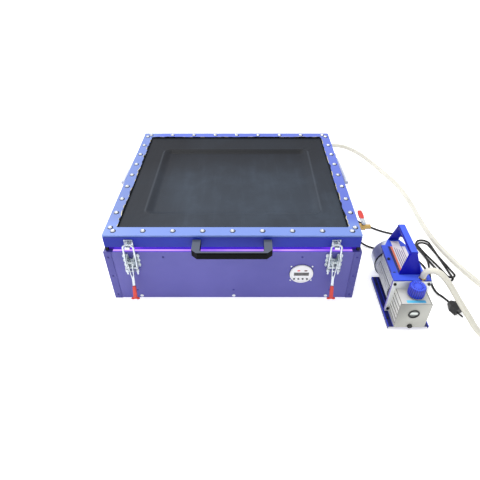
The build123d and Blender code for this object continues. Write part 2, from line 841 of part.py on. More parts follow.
# ======== Lid ========
with BuildPart() as lid_frame:
    open_mid = (opening_front + opening_back) / 2
    open_deep = opening_back - opening_front
    with BuildSketch(Plane.XY.offset(lid_bottom)):
        Rectangle(2 * lid_x, 2 * lid_y)
        with Locations((0, open_mid)):
            Rectangle(2 * opening_x, open_deep, mode=Mode.SUBTRACT)
    extrude(amount=blanket_bottom - lid_bottom)
    inner_x = lid_x - lid_wall
    inner_y = lid_y - lid_wall
    pocket = (lid_bottom + lid_wall, blanket_bottom - lid_wall)
    block((-inner_x, inner_x), (-inner_y, inner_y), pocket, Mode.SUBTRACT)
    with BuildSketch(Plane.XY.offset(blanket_bottom + 1)):
        with Locations(*bolt_spots):
            Circle(bolt_shank + bolt_slack)
    extrude(amount=-lid_wall - 2, mode=Mode.SUBTRACT)
    valve_hole = valve_thread + bolt_slack
    bar((inner_x - 1, valve_y, valve_z), (lid_x + 1, valve_y, valve_z), valve_hole, Mode.SUBTRACT)

with BuildPart() as rubber_blanket:
    sheet_x = lid_x - blanket_edge
    sheet_y = lid_y - blanket_edge
    block((-sheet_x, sheet_x), (-sheet_y, sheet_y), (blanket_bottom, clamp_bottom))
    dish_x = lid_x - dish_side
    dish_mid = (dish_front - dish_back) / 2
    dish_y = lid_y - (dish_front + dish_back) / 2

    def dish(level, mode):
        """A soft rectangular dish that hangs from a level."""
        with BuildSketch(Plane.XY.offset(level)) as mouth:
            with Locations((0, dish_mid)):
                RectangleRounded(2 * dish_x, 2 * dish_y, dish_corner)
        with BuildSketch(Plane.XY.offset(level - dish_depth)) as floor:
            with Locations((0, dish_mid)):
                floor_x = dish_x - dish_slope
                floor_y = dish_y - dish_slope
                RectangleRounded(2 * floor_x, 2 * floor_y, dish_corner - dish_slope / 2)
        loft([mouth.sketch, floor.sketch], mode=mode)

    dish(blanket_bottom, Mode.ADD)
    dish(clamp_bottom, Mode.SUBTRACT)
    with BuildSketch(Plane.XY.offset(clamp_bottom + 1)):
        with Locations(*bolt_spots):
            Circle(bolt_shank + bolt_slack)
    extrude(amount=-blanket_thick - 2, mode=Mode.SUBTRACT)

with BuildPart() as clamp_frame:
    with BuildSketch(Plane.XY.offset(clamp_bottom)):
        Rectangle(2 * lid_x, 2 * lid_y)
        with Locations((0, open_mid)):
            Rectangle(2 * opening_x, open_deep, mode=Mode.SUBTRACT)
        with Locations(*bolt_spots):
            Circle(bolt_shank + bolt_slack, mode=Mode.SUBTRACT)
    extrude(amount=clamp_thick)

with BuildPart() as one_bolt:
    nut_top = blanket_bottom - lid_wall
    bar((0, 0, lid_top), (0, 0, lid_top + bolt_head_height), bolt_head)
    fillet(one_bolt.faces().sort_by(Axis.Z)[-1].edges(), bolt_head_height * 0.7)
    bar((0, 0, nut_top - nut_height - 2), (0, 0, lid_top), bolt_shank)
    hexagon((0, 0, nut_top - nut_height), (0, 0, nut_top), nut_size + 1)

with BuildPart() as blanket_bolts:
    with Locations(*[(x, y, 0) for x, y in bolt_spots]):
        add(one_bolt.part)

with BuildPart() as lid_handle:
    reach = -lid_y - handle_reach
    with BuildSketch(Plane.XY.offset(handle_bottom)):
        with BuildLine():
            Polyline((-handle_half, -lid_y), (-handle_half, reach + handle_chamfer),
                     (-handle_half + handle_chamfer, reach), (handle_half - handle_chamfer, reach),
                     (handle_half, reach + handle_chamfer), (handle_half, -lid_y),
                     (handle_half - handle_leg, -lid_y), (handle_half - handle_leg, reach + handle_bar + 4),
                     (handle_half - handle_leg - 4, reach + handle_bar),
                     (-handle_half + handle_leg + 4, reach + handle_bar),
                     (-handle_half + handle_leg, reach + handle_bar + 4),
                     (-handle_half + handle_leg, -lid_y), close=True)
        make_face()
    extrude(amount=handle_top - handle_bottom)
    fillet(lid_handle.edges().group_by(Axis.Y)[0].filter_by(Axis.X), 3)

# ======== Release valve ========
with BuildPart() as release_valve:
    ball_x = lid_x + valve_ball_x
    end_x = lid_x + valve_end_x
    half = valve_body_length / 2
    bar((inner_x - 6, valve_y, valve_z), (ball_x, valve_y, valve_z), valve_thread)
    hexagon((lid_x, valve_y, valve_z), (lid_x + 8, valve_y, valve_z), 2 * valve_collar - 1)
    bar((ball_x - half, valve_y, valve_z), (ball_x + half - 4, valve_y, valve_z), valve_collar)
    bar((ball_x, valve_y, valve_z), (end_x, valve_y, valve_z), valve_nose)
    bar((ball_x, valve_y, valve_z), (ball_x, valve_y, valve_stem_top), valve_stem)
    bore_start = (end_x - valve_bore_depth, valve_y, valve_z)
    bar(bore_start, (end_x + 1, valve_y, valve_z), valve_bore, Mode.SUBTRACT)

with BuildPart() as valve_lever:
    lever_top = valve_stem_top + valve_lever_thick
    with BuildSketch(Plane.XY.offset(valve_stem_top + running_slack)):
        with Locations((ball_x, valve_y + valve_lever_length / 2 - 4)):
            SlotOverall(valve_lever_length + 8, valve_lever_width, rotation=90)
    extrude(amount=valve_lever_thick)
    hexagon((ball_x, valve_y, lever_top), (ball_x, valve_y, lever_top + nut_height), nut_size)

# ======== Vacuum pump ========
base_half = base_width / 2
with BuildPart() as pump_base:
    base_z = (base_level - base_sheet, base_level)
    block((pump_x - base_half, pump_x + base_half), (base_front, base_back), base_z)
    for side in (-1, 1):
        lip = sorted((pump_x + side * base_half, pump_x + side * (base_half - base_sheet)))
        block(lip, (base_front, base_back), (base_level - base_lip, base_level))

with BuildPart() as pump_feet:
    for side in (-1, 1):
        for y in (base_front + foot_inset, base_back - foot_inset):
            x = pump_x + side * foot_x
            bar((x, y, 0), (x, y, base_level - base_sheet), foot_radius)

shaft_plane = Plane(origin=(pump_x, motor_back, motor_z), x_dir=(1, 0, 0), z_dir=(0, -1, 0))
motor_length = motor_back - motor_front
with BuildPart() as motor_housing:
    with BuildSketch(shaft_plane):
        Circle(motor_core)
        for start in fin_starts:
            with PolarLocations((motor_core + motor_fin) / 2 - 1, fins_a_side, start, fin_span):
                Rectangle(motor_fin - motor_core + 2, fin_thick)
    extrude(amount=motor_length)
    for side in (-1, 1):
        rail = sorted((pump_x + side * (saddle_half - saddle_rail), pump_x + side * (saddle_half - 1)))
        block(rail, (motor_front, motor_back), (motor_z + 24, saddle_level))
        edge = pump_x + side * (saddle_half - 1)
        cut = sorted((edge, edge - side * rail_groove_depth))
        for z in rail_grooves:
            block(cut, (motor_front, motor_back), (z - rail_groove / 2, z + rail_groove / 2), Mode.SUBTRACT)
    block((pump_x - motor_foot, pump_x + motor_foot), (motor_front + 20, motor_back - 15),
          (base_level, motor_z - 24))
    gland_boss = hose_size - 3
    block((pump_x + motor_core - 4, pump_x + motor_fin + 3),
          (pump_gland_y - gland_boss, pump_gland_y + gland_boss),
          (pump_gland_z - gland_boss, pump_gland_z + gland_boss))
    bar((pump_x, motor_back, motor_z), (pump_x, end_shield_back, motor_z), end_shield_radius)

with BuildPart() as fan_cover:
    with BuildSketch(Plane(origin=(pump_x, 0, motor_z), x_dir=(0, 1, 0), z_dir=(1, 0, 0))):
        with BuildLine():
            bend_y = cover_back - cover_round
            cover_seat = end_shield_radius + running_slack
            bend_r = cover_radius - cover_round
            outer_cut = 0.29 * cover_round
            inner_cut = cover_wall + 0.29 * (cover_round - cover_wall)
            lip_y = end_shield_back - 4
            Polyline((lip_y, cover_seat), (lip_y, cover_radius), (bend_y, cover_radius))
            ThreePointArc((bend_y, cover_radius), (cover_back - outer_cut, cover_radius - outer_cut),
                          (cover_back, bend_r))
            Polyline((cover_back, bend_r), (cover_back, 0), (cover_back - cover_wall, 0),
                     (cover_back - cover_wall, bend_r))
            ThreePointArc((cover_back - cover_wall, bend_r),
                          (cover_back - inner_cut, cover_radius - inner_cut),
                          (bend_y, cover_radius - cover_wall))
            Polyline((bend_y, cover_radius - cover_wall), (end_shield_back, cover_radius - cover_wall),
                     (end_shield_back, cover_seat), (lip_y, cover_seat))
        make_face()
    revolve(axis=Axis((pump_x, 0, motor_z), (0, 1, 0)))
    with BuildSketch(Plane(origin=(pump_x, cover_back + 1, motor_z), x_dir=(1, 0, 0), z_dir=(0, -1, 0))):
        with PolarLocations(cover_slot_ring, cover_slots):
            SlotOverall(cover_slot[1], cover_slot[0])
    extrude(amount=cover_wall + 2, mode=Mode.SUBTRACT)

chamber_half = chamber_width / 2
with BuildPart() as pump_mid_plate:
    mid_half = mid_width / 2
    mid_back = mid_front + mid_thick
    block((pump_x - mid_half, pump_x + mid_half), (mid_front, mid_back), (base_level, mid_top))
    block((pump_x - head_width / 2, pump_x + head_width / 2), (mid_back, motor_front), (base_level, mid_top))

with BuildPart() as oil_chamber:
    chamber_x = (pump_x - chamber_half, pump_x + chamber_half)
    block(chamber_x, (chamber_front, mid_front), (base_level, chamber_top))
    for z in spread(base_level + 14, chamber_top - 14, chamber_grooves):
        for side in (-1, 1):
            groove = sorted((pump_x + side * chamber_half, pump_x + side * (chamber_half - groove_depth)))
            groove_z = (z - groove_width / 2, z + groove_width / 2)
            block(groove, (chamber_front + 3, mid_front), groove_z, Mode.SUBTRACT)
    face_y = chamber_front + sight_depth
    bar((pump_x, chamber_front - 1, sight_z), (pump_x, face_y, sight_z), sight_radius, Mode.SUBTRACT)
    bar((cap_x, cap_y, chamber_top), (cap_x, cap_y, neck_top), neck_radius)

with BuildPart() as sight_glass:
    sight_front = (pump_x, chamber_front - sight_proud, sight_z)
    bar((pump_x, face_y, sight_z), sight_front, sight_radius - running_slack)
    bar((pump_x, chamber_front - sight_proud / 2, sight_z), sight_front, sight_radius - 3, Mode.SUBTRACT)

with BuildPart() as oil_cap:
    bar((cap_x, cap_y, cap_bottom), (cap_x, cap_y, cap_top), cap_radius - 1)
    with BuildSketch(Plane.XY.offset(cap_bottom)):
        with Locations((cap_x, cap_y)):
            with PolarLocations(cap_radius - 1.5, cap_ribs):
                Rectangle(3, 2.4)
    extrude(amount=cap_top - cap_bottom - 3)
    neck_end = (cap_x, cap_y, neck_top + running_slack)
    bar((cap_x, cap_y, cap_bottom - 1), neck_end, neck_radius + running_slack, Mode.SUBTRACT)

with BuildPart() as inlet_fitting:
    fitting_top = mid_top + fitting_height
    hexagon((fitting_x, fitting_y, mid_top), (fitting_x, fitting_y, fitting_top), fitting_size)

with BuildPart() as pump_handle:
    plate_z = (mid_top, mid_top + saddle_thick)
    block((pump_x - mid_half + 1, pump_x + mid_half - 1), (mid_front + 2, foot_plate_back), plate_z)
    clear = fitting_size / math.sqrt(3) + 1
    plate_top = (fitting_x, fitting_y, mid_top + saddle_thick + 1)
    bar((fitting_x, fitting_y, mid_top - 1), plate_top, clear, Mode.SUBTRACT)
    web_y = (motor_front + 1, motor_front + 1 + saddle_thick)
    rail_front_back = end_shield_back - 6
    block((pump_x - saddle_half, pump_x + saddle_half), web_y, (saddle_level, mid_top + saddle_thick))
    for side in (-1, 1):
        rail = sorted((pump_x + side * (saddle_half - saddle_rail), pump_x + side * saddle_half))
        block(rail, (web_y[0], rail_front_back), (saddle_level, saddle_level + rail_height))
        rear = (rail_front_back, saddle_back)
        block(rail, rear, (sheet_level, saddle_level + rail_height))
    with BuildSketch(Plane.XY.offset(sheet_level)):
        with BuildLine():
            wide = saddle_half - saddle_rail + 1
            foot = rear_foot_width / 2
            Polyline((pump_x - wide, web_y[0]), (pump_x + wide, web_y[0]), (pump_x + wide, saddle_back),
                     (pump_x + foot, sheet_back), (pump_x - foot, sheet_back),
                     (pump_x - wide, saddle_back), close=True)
        make_face()
    extrude(amount=sheet_thick)
    with BuildSketch(Plane.XY.offset(mid_top)):
        with Locations((pump_x, web_y[1] - leg_thick / 2 - 2)):
            Rectangle(leg_foot_width, leg_thick)
    with BuildSketch(Plane.XY.offset(grip_bar_bottom + 2)):
        with Locations((pump_x, grip_bar_front + leg_top_thick / 2)):
            Rectangle(grip_bar_width, leg_top_thick)
    loft()
    with BuildSketch(Plane.XY.offset(sheet_level)):
        with Locations((pump_x, sheet_back - leg_thick / 2)):
            Rectangle(rear_foot_width, leg_thick)
    with BuildSketch(Plane.XY.offset(grip_bar_bottom + 2)):
        with Locations((pump_x, grip_bar_back - leg_top_thick / 2)):
            Rectangle(grip_bar_width, leg_top_thick)
    loft()
    grip_half = grip_bar_width / 2
    grip_x = (pump_x - grip_half, pump_x + grip_half)
    block(grip_x, (grip_bar_front, grip_bar_back), (grip_bar_bottom, grip_bar_top))
    fillet(pump_handle.faces().sort_by(Axis.Z)[-1].edges(), 3)

saddle_mid = saddle_half - saddle_rail / 2
saddle_screw_y = (web_y[1] + 6, rail_front_back - 43)
with BuildPart() as pump_screws:
    for side in (-1, 1):
        for y in saddle_screw_y:
            x = pump_x + side * saddle_mid
            top = saddle_level + rail_height
            bar((x, y, top), (x, y, top + pump_screw_height), pump_screw)
        for z in (mid_top - 8, base_level + 12):
            x = pump_x + side * (mid_half - 6)
            bar((x, mid_front, z), (x, mid_front - pump_screw_height, z), pump_screw)
        for y in (base_front + 30, base_back - 34):
            x = pump_x + side * (base_half - 7)
            bar((x, y, base_level), (x, y, base_level + pump_screw_height - 1), pump_screw - 1)
    bar((pump_x, chamber_front, drain_z), (pump_x, chamber_front - drain_length, drain_z), drain_radius)

# ======== Hose port, glands, hose and cords ========
with BuildPart() as hose_port:
    port_end = panel_y + hose_port_length
    bar((hose_port_x, panel_y, hose_port_z), (hose_port_x, panel_y + 4, hose_port_z), hose_size / 2 + 6)
    bar((hose_port_x, panel_y - 12, hose_port_z), (hose_port_x, port_end, hose_port_z), hose_size / 2 - seam)
    port_back = (hose_port_x, port_end + 1, hose_port_z)
    bar((hose_port_x, panel_y - 13, hose_port_z), port_back, hose_size / 4, Mode.SUBTRACT)


def gland(x, y, z):
    """A cable gland that stands out of a wall at x, with its thread inside the wall."""
    hexagon((x, y, z), (x + gland_flange_thick, y, z), 2 * gland_flange)
    bar((x - sheet - 6, y, z), (x + gland_length, y, z), gland_nose - seam)


with BuildPart() as cord_glands:
    for start in (lead_route[0], pump_cord_route[0]):
        gland(half_width, start[1], start[2])
    pump_side = pump_x + motor_fin + 3
    bar((pump_side, pump_gland_y, pump_gland_z), pump_cord_route[-1], gland_nose)


def bend_radii(route):
    """The largest arc that each corner's two runs leave room for."""
    points = [Vector(*p) for p in route]
    radii = []
    for before, at, after in zip(points, points[1:], points[2:]):
        turn = math.radians((at - before).get_angle(after - at))
        shorter = min((at - before).length, (after - at).length)
        radii.append(0.45 * shorter / math.tan(turn / 2))
    return radii


def tube_along(route, size, name):
    """A plain round tube along a hand-laid route."""
    radii = bend_radii(route)
    with BuildPart() as tube:
        with BuildLine() as path:
            FilletPolyline(*route, radius=radii)
        with BuildSketch(Plane(origin=path.line @ 0, z_dir=path.line % 0)):
            Circle(size / 2)
        sweep()
    length = path.wire().length
    ratio = tube.part.volume / (math.pi * size**2 / 4 * length)
    print(name, "length", round(length), "volume ratio", round(ratio, 4), "radii", [round(r) for r in radii])
    return tube


hank_turn = math.radians(hank_lean)
hank_right_way = Vector(math.cos(hank_turn), math.sin(hank_turn), 0)
hank_along_way = Vector(math.sin(hank_turn), -math.cos(hank_turn), 0)


def hank_point(across, along, level):
    """A point of the hank: across to the right, along towards the front, above the floor tubes."""
    start = Vector(hank_centre[0], hank_centre[1], floor_cord + level)
    return start + hank_right_way * across + hank_along_way * along


def belt(start, end):
    """Where a straight run leaves one round end and meets the next, as on a belt."""
    over = end[0] - start[0]
    ahead = end[1] - start[1]
    apart = math.hypot(over, ahead)
    over /= apart
    ahead /= apart
    lean = (start[2] - end[2]) / apart
    square = math.sqrt(1 - lean**2)
    side_over = over * lean - ahead * square
    side_ahead = ahead * lean + over * square
    first = (start[0] + start[2] * side_over, start[1] + start[2] * side_ahead)
    last = (end[0] + end[2] * side_over, end[1] + end[2] * side_ahead)
    return first, last


def round_end(arrive, circle, leave, level, way):
    """The bend round one end of the hank, through its furthest point."""
    furthest = hank_point(circle[0], circle[1] + way * circle[2], level)
    ThreePointArc(hank_point(*arrive, level), furthest, hank_point(*leave, level))


run_a = belt((*hank_entry, 0.0), hank_front_1)
run_b = belt(hank_front_1, hank_back_1)
run_c = belt(hank_back_1, hank_front_2)
run_d = belt(hank_front_2, hank_back_2)
run_e = belt(hank_back_2, (*hank_exit, 0.0))
with BuildPart() as power_cord_hank:
    with BuildLine() as loops:
        Line(hank_point(*run_a[0], 0), hank_point(*run_a[1], 0))
        round_end(run_a[1], hank_front_1, run_b[0], 0, 1)
        Line(hank_point(*run_b[0], 0), hank_point(*run_b[1], 0))
        round_end(run_b[1], hank_back_1, run_c[0], 0, -1)
        climb_start = hank_point(*run_c[0], 0)
        climb_end = hank_point(*run_c[1], hank_climb)
        climb_way = (hank_point(*run_c[1], 0) - climb_start).normalized()
        climb_mid = (climb_start + climb_end) / 2
        rise_arc = TangentArc(climb_start, climb_mid, tangent=climb_way)
        TangentArc(climb_mid, climb_end, tangent=rise_arc % 1)
        round_end(run_c[1], hank_front_2, run_d[0], hank_climb, 1)
        Line(hank_point(*run_d[0], hank_climb), hank_point(*run_d[1], hank_climb))
        round_end(run_d[1], hank_back_2, run_e[0], hank_climb, -1)
        Line(hank_point(*run_e[0], hank_climb), hank_point(*run_e[1], hank_climb))
    with BuildSketch(Plane(origin=loops.line @ 0, z_dir=loops.line % 0)):
        Circle(cord_size / 2)
    sweep()

hank_path = loops.wire()
hank_length = hank_path.length
steps = 700
samples = [hank_path @ (i / steps) for i in range(steps + 1)]
apart = math.ceil(3 * cord_size / (hank_length / steps))
least = min((samples[i] - samples[j]).length for i in range(steps + 1) for j in range(i + apart, steps + 1))
print("hank length", round(hank_length), "least gap to itself", round(least - cord_size, 2))

hank_first = hank_point(*run_a[0], 0)
hank_last = hank_point(*run_e[1], hank_climb)
lead_way = (hank_point(*run_a[1], 0) - hank_first).normalized()
tail_way = (hank_last - hank_point(*run_e[0], hank_climb)).normalized()
lead_last = hank_first - lead_way * 22
cord_lead = tube_along(lead_route + [tuple(lead_last), tuple(hank_first)], cord_size, "mains lead")
tail_first = hank_last + tail_way * 14
cord_tail = tube_along([tuple(hank_last), tuple(tail_first)] + tail_route, cord_size, "mains tail")
with BuildPart() as power_cord:
    add(cord_lead.part)
    add(cord_tail.part)
vacuum_hose = tube_along(hose_route, hose_size, "vacuum hose")
pump_cord = tube_along(pump_cord_route, cord_size, "pump cord")

plug_start = Vector(*tail_route[-1])
plug_way = (plug_start - Vector(*tail_route[-2])).normalized()
with BuildPart() as power_plug:
    plug_plane = Plane(origin=plug_start, z_dir=plug_way)
    across_way = plug_plane.x_dir if abs(plug_plane.x_dir.Z) < 0.5 else plug_plane.y_dir
    plug_face = Plane(origin=plug_start, x_dir=across_way, z_dir=plug_way)
    with BuildSketch(plug_face):
        Rectangle(cord_size + 4, cord_size + 4)
    with BuildSketch(plug_face.offset(plug_length * 0.45)):
        Rectangle(plug_width, plug_height)
    loft()
    with BuildSketch(plug_face.offset(plug_length * 0.45)):
        Rectangle(plug_width, plug_height)
    extrude(amount=plug_length * 0.55)
    with BuildSketch(plug_face.offset(plug_length)):
        with GridLocations(plug_pin_pitch, 0, 2, 1):
            Circle(plug_pin)
    extrude(amount=plug_pin_length)

# ======== Labels and files ========
pieces = {
    "base_pan": base_pan, "left_side_panel": left_side_panel, "right_side_panel": right_side_panel,
    "front_panel": front_panel, "back_panel": back_panel, "panel_screws": panel_screws,
    "zinc_screws": zinc_screws, "glass_plate": glass_plate, "glass_seal": glass_seal,
    "light_tray": light_tray, "uv_led_strips": uv_led_strips, "led_driver": led_driver,
    "timer_body": timer_body, "timer_window": timer_window, "timer_lamps": timer_lamps,
    "base_hinge_leaves": base_hinge_leaves, "base_stay_brackets": base_stay_brackets,
    "latch_brackets": latch_brackets, "hose_port": hose_port, "cord_glands": cord_glands,
    "latch_keepers": latch_keepers, "lid_frame": lid_frame, "clamp_frame": clamp_frame,
    "rubber_blanket": rubber_blanket, "blanket_bolts": blanket_bolts, "lid_handle": lid_handle,
    "lid_hinge_leaves": lid_hinge_leaves, "lid_stay_brackets": lid_stay_brackets,
    "release_valve": release_valve, "valve_lever": valve_lever,
    "pump_base": pump_base, "pump_feet": pump_feet, "motor_housing": motor_housing,
    "fan_cover": fan_cover, "pump_handle": pump_handle, "pump_mid_plate": pump_mid_plate,
    "oil_chamber": oil_chamber, "oil_cap": oil_cap, "sight_glass": sight_glass,
    "inlet_fitting": inlet_fitting, "pump_screws": pump_screws, "vacuum_hose": vacuum_hose,
    "power_cord": power_cord, "power_cord_hank": power_cord_hank, "power_plug": power_plug,
    "pump_cord": pump_cord,
}
for number, button in enumerate(buttons, 1):
    pieces[f"timer_button_{number}"] = button
for side, word in ((-1, "left"), (1, "right")):
    pieces[f"{word}_stay_rod"] = stay_rods[side]
    pieces[f"{word}_stay_tube"] = stay_tubes[side]
    pieces[f"{word}_latch_lever"] = latch_levers[side]
    pieces[f"{word}_latch_grip"] = latch_grips[side]
    pieces[f"{word}_bail"] = bails[side]

os.makedirs("parts", exist_ok=True)
for name, piece in pieces.items():
    piece.part.label = name
    export_step(piece.part, f"parts/{name}.step")
print(len(pieces), "nodes")
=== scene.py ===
import math
import bmesh
import bpy
import numpy as np
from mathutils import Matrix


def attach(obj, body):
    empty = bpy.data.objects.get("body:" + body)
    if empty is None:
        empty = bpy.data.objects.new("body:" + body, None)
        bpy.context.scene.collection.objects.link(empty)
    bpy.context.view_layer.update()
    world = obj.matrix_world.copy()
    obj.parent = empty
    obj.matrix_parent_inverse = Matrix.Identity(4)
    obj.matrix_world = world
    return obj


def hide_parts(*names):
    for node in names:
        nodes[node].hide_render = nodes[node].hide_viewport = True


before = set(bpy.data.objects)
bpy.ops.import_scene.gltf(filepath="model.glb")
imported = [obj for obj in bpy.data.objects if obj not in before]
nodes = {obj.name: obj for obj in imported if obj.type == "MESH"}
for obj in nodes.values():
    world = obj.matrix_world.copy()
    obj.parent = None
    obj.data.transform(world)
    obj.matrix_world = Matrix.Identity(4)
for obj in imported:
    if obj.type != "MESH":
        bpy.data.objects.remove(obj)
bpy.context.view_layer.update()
print("frame loaded:", len(nodes), "nodes")

mm = 0.001
rng = np.random.default_rng(7)


def tone(r, g, b):
    # 0-255 screen colour to the linear values that a shader wants
    c = np.array([r, g, b]) / 255
    lin = np.where(c <= 0.04045, c / 12.92, ((c + 0.055) / 1.055) ** 2.4)
    return (float(lin[0]), float(lin[1]), float(lin[2]), 1.0)


class Wire:
    # wraps one output socket, so that sums on it add Math nodes
    def __init__(self, paint, socket):
        self.paint = paint
        self.socket = socket

    def calc(self, operation, *others):
        return self.paint.node("ShaderNodeMath", {"operation": operation}, [self, *others])

    def __add__(self, other):
        return self.calc("ADD", other)

    def __radd__(self, other):
        return self.calc("ADD", other)

    def __sub__(self, other):
        return self.calc("SUBTRACT", other)

    def __rsub__(self, other):
        return self.paint.node("ShaderNodeMath", {"operation": "SUBTRACT"}, [other, self])

    def __mul__(self, other):
        return self.calc("MULTIPLY", other)

    def __rmul__(self, other):
        return self.calc("MULTIPLY", other)

    def __truediv__(self, other):
        return self.calc("DIVIDE", other)

    def __pow__(self, other):
        return self.calc("POWER", other)

    def __gt__(self, other):
        return self.calc("GREATER_THAN", other)

    def __lt__(self, other):
        return self.calc("LESS_THAN", other)

    def __abs__(self):
        return self.calc("ABSOLUTE")

    def clamped(self):
        return self.calc("MAXIMUM", 0.0).calc("MINIMUM", 1.0)

    def ramp(self, low, high):
        # 0 at low, 1 at high, smooth between
        return self.paint.node("ShaderNodeMapRange", {"interpolation_type": "SMOOTHSTEP"},
                               {"Value": self, "From Min": low, "From Max": high})


class Paint:
    # one material, with the nodes added by name
    def __init__(self, name):
        self.material = bpy.data.materials.new(name)
        self.material.use_nodes = True
        self.tree = self.material.node_tree
        self.shader = self.tree.nodes["Principled BSDF"]
        self.coords = self.node("ShaderNodeTexCoord", {}, {}, "Object")

    def node(self, kind, settings, inputs, output=0):
        made = self.tree.nodes.new(kind)
        for key, value in settings.items():
            if key == "stops":
                for i, (place, colour) in enumerate(value):
                    stop = made.color_ramp.elements[i] if i < 2 else made.color_ramp.elements.new(place)
                    stop.position = place
                    stop.color = colour
            else:
                setattr(made, key, value)
        pairs = enumerate(inputs) if isinstance(inputs, (list, tuple)) else inputs.items()
        for key, value in pairs:
            if isinstance(key, str):
                target = next(s for s in made.inputs if key in (s.identifier, s.name))
            else:
                target = made.inputs[key]
            if isinstance(value, Wire):
                self.tree.links.new(value.socket, target)
            else:
                target.default_value = value
        if isinstance(output, str):
            return Wire(self, next(s for s in made.outputs if output in (s.identifier, s.name)))
        return Wire(self, made.outputs[output])

    def mix(self, factor, first, second):
        return self.node("ShaderNodeMix", {"data_type": "RGBA"},
                         {"Factor_Float": factor, "A_Color": first, "B_Color": second}, "Result_Color")

    def noise(self, scale, detail=3.0, rough=0.5, coords=None):
        return self.node("ShaderNodeTexNoise", {}, {"Vector": coords or self.coords, "Scale": scale,
                                                    "Detail": detail, "Roughness": rough})

    def stretched(self, x, y, z):
        return self.node("ShaderNodeMapping", {}, {"Vector": self.coords, "Scale": (x, y, z)})

    def axes(self):
        parts = self.node("ShaderNodeSeparateXYZ", {}, {"Vector": self.coords})
        return [Wire(self, s) for s in parts.socket.node.outputs]

    def facing(self):
        # how far the face looks up: 1 for a level top, 0 for a wall
        normal = self.node("ShaderNodeNewGeometry", {}, {}, "Normal")
        return self.node("ShaderNodeSeparateXYZ", {}, {"Vector": normal}, 2)

    def bump(self, height, strength=0.2, distance=0.0005):
        return self.node("ShaderNodeBump", {}, {"Height": height, "Strength": strength, "Distance": distance})

    def done(self, **sockets):
        # sets or links the shader's own sockets, with _ for a space in the name
        for key, value in sockets.items():
            target = self.shader.inputs[key.replace("_", " ")]
            if isinstance(value, Wire):
                self.tree.links.new(value.socket, target)
            else:
                target.default_value = value
        return self.material


def meshPiece(name, verts, faces, material, body, smooth=40):
    # a mesh from points in millimetres; edges sharper than the angle stay crisp
    mesh = bpy.data.meshes.new(name)
    mesh.from_pydata((np.asarray(verts, float) * mm).tolist(), [], faces)
    mesh.shade_smooth()
    mesh.set_sharp_from_angle(angle=math.radians(smooth))
    mesh.materials.append(material)
    piece = bpy.data.objects.new(name, mesh)
    bpy.context.scene.collection.objects.link(piece)
    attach(piece, body)
    return piece


def gridFaces(rows, columns, wrapRows=False, wrapColumns=False, start=0):
    # quads of a grid of points, row by row
    r = np.arange(rows if wrapRows else rows - 1)[:, None]
    c = np.arange(columns if wrapColumns else columns - 1)[None, :]
    r2 = (r + 1) % rows
    c2 = (c + 1) % columns
    quads = np.stack([r * columns + c, r * columns + c2, r2 * columns + c2, r2 * columns + c], axis=-1)
    return (quads.reshape(-1, 4) + start).tolist()


def ringSurface(points, closedPath=False, start=0):
    # points[row, around]: a tube's skin, with its two ends capped unless the path is closed
    rows, around = points.shape[:2]
    faces = gridFaces(rows, around, wrapRows=closedPath, wrapColumns=True, start=start)
    if not closedPath:
        faces.append([start + i for i in range(around)][::-1])
        faces.append([start + (rows - 1) * around + i for i in range(around)])
    return points.reshape(-1, 3), faces


def joined(parts):
    # several (points, faces) pairs as one mesh
    verts = []
    faces = []
    total = 0
    for points, quads in parts:
        verts.append(points)
        faces += [[i + total for i in f] for f in quads]
        total += len(points)
    return np.concatenate(verts), faces


def outwards(piece):
    # turns every face to point out of its closed shell
    bm = bmesh.new()
    bm.from_mesh(piece.data)
    bmesh.ops.recalc_face_normals(bm, faces=bm.faces)
    bm.to_mesh(piece.data)
    bm.free()
    return piece


def sweep(path, profile, up=(0, 0, 1), closedPath=False):
    # carries a closed profile of (across, upward) points along a path, mitred at its corners
    path = np.asarray(path, float)
    up = np.asarray(up, float)
    if closedPath:
        ahead = np.roll(path, -1, 0) - path
        behind = path - np.roll(path, 1, 0)
    else:
        ahead = np.diff(path, axis=0, append=path[-1:] * 2 - path[-2:-1])
        behind = np.diff(path, axis=0, prepend=path[:1] * 2 - path[1:2])
    ahead /= np.linalg.norm(ahead, axis=1, keepdims=True)
    behind /= np.linalg.norm(behind, axis=1, keepdims=True)
    along = ahead + behind
    along /= np.linalg.norm(along, axis=1, keepdims=True)
    side = np.cross(along, up)
    side /= np.linalg.norm(side, axis=1, keepdims=True)
    rise = np.cross(side, along)
    stretch = 1 / np.clip((along * ahead).sum(1, keepdims=True), 0.5, 1)
    profile = np.asarray(profile, float)
    return (path[:, None] + side[:, None] * stretch[:, None] * profile[None, :, :1]
            + rise[:, None] * profile[None, :, 1:])


def roundedBox(width, height, radius, corner=5):
    # a rectangle's outline with round corners, counter-clockwise from the right
    a = np.linspace(0, math.pi / 2, corner)
    quarter = np.stack([np.cos(a), np.sin(a)], 1) * radius
    out = []
    for i, (sx, sy) in enumerate(((1, 1), (-1, 1), (-1, -1), (1, -1))):
        turn = i * math.pi / 2
        c, s = math.cos(turn), math.sin(turn)
        out.append(quarter @ np.array([[c, s], [-s, c]]) + [sx * (width / 2 - radius), sy * (height / 2 - radius)])
    return np.concatenate(out)


def circle(radius, count=16):
    a = np.arange(count) / count * 2 * math.pi
    return np.stack([np.cos(a), np.sin(a)], 1) * radius


def turned(radii, heights, count=32, ripple=None):
    # a profile of radii and heights spun about Z; ripple(angle) scales the radius at each angle
    a = np.arange(count) / count * 2 * math.pi
    swell = np.ones(count) if ripple is None else ripple(a)
    radii = np.asarray(radii, float)[:, None]
    heights = np.broadcast_to(np.asarray(heights, float)[:, None], (len(radii), count))
    r = radii * swell[None] if ripple is not None else np.broadcast_to(radii, (len(radii), count))
    return np.stack([r * np.cos(a), r * np.sin(a), heights], -1)


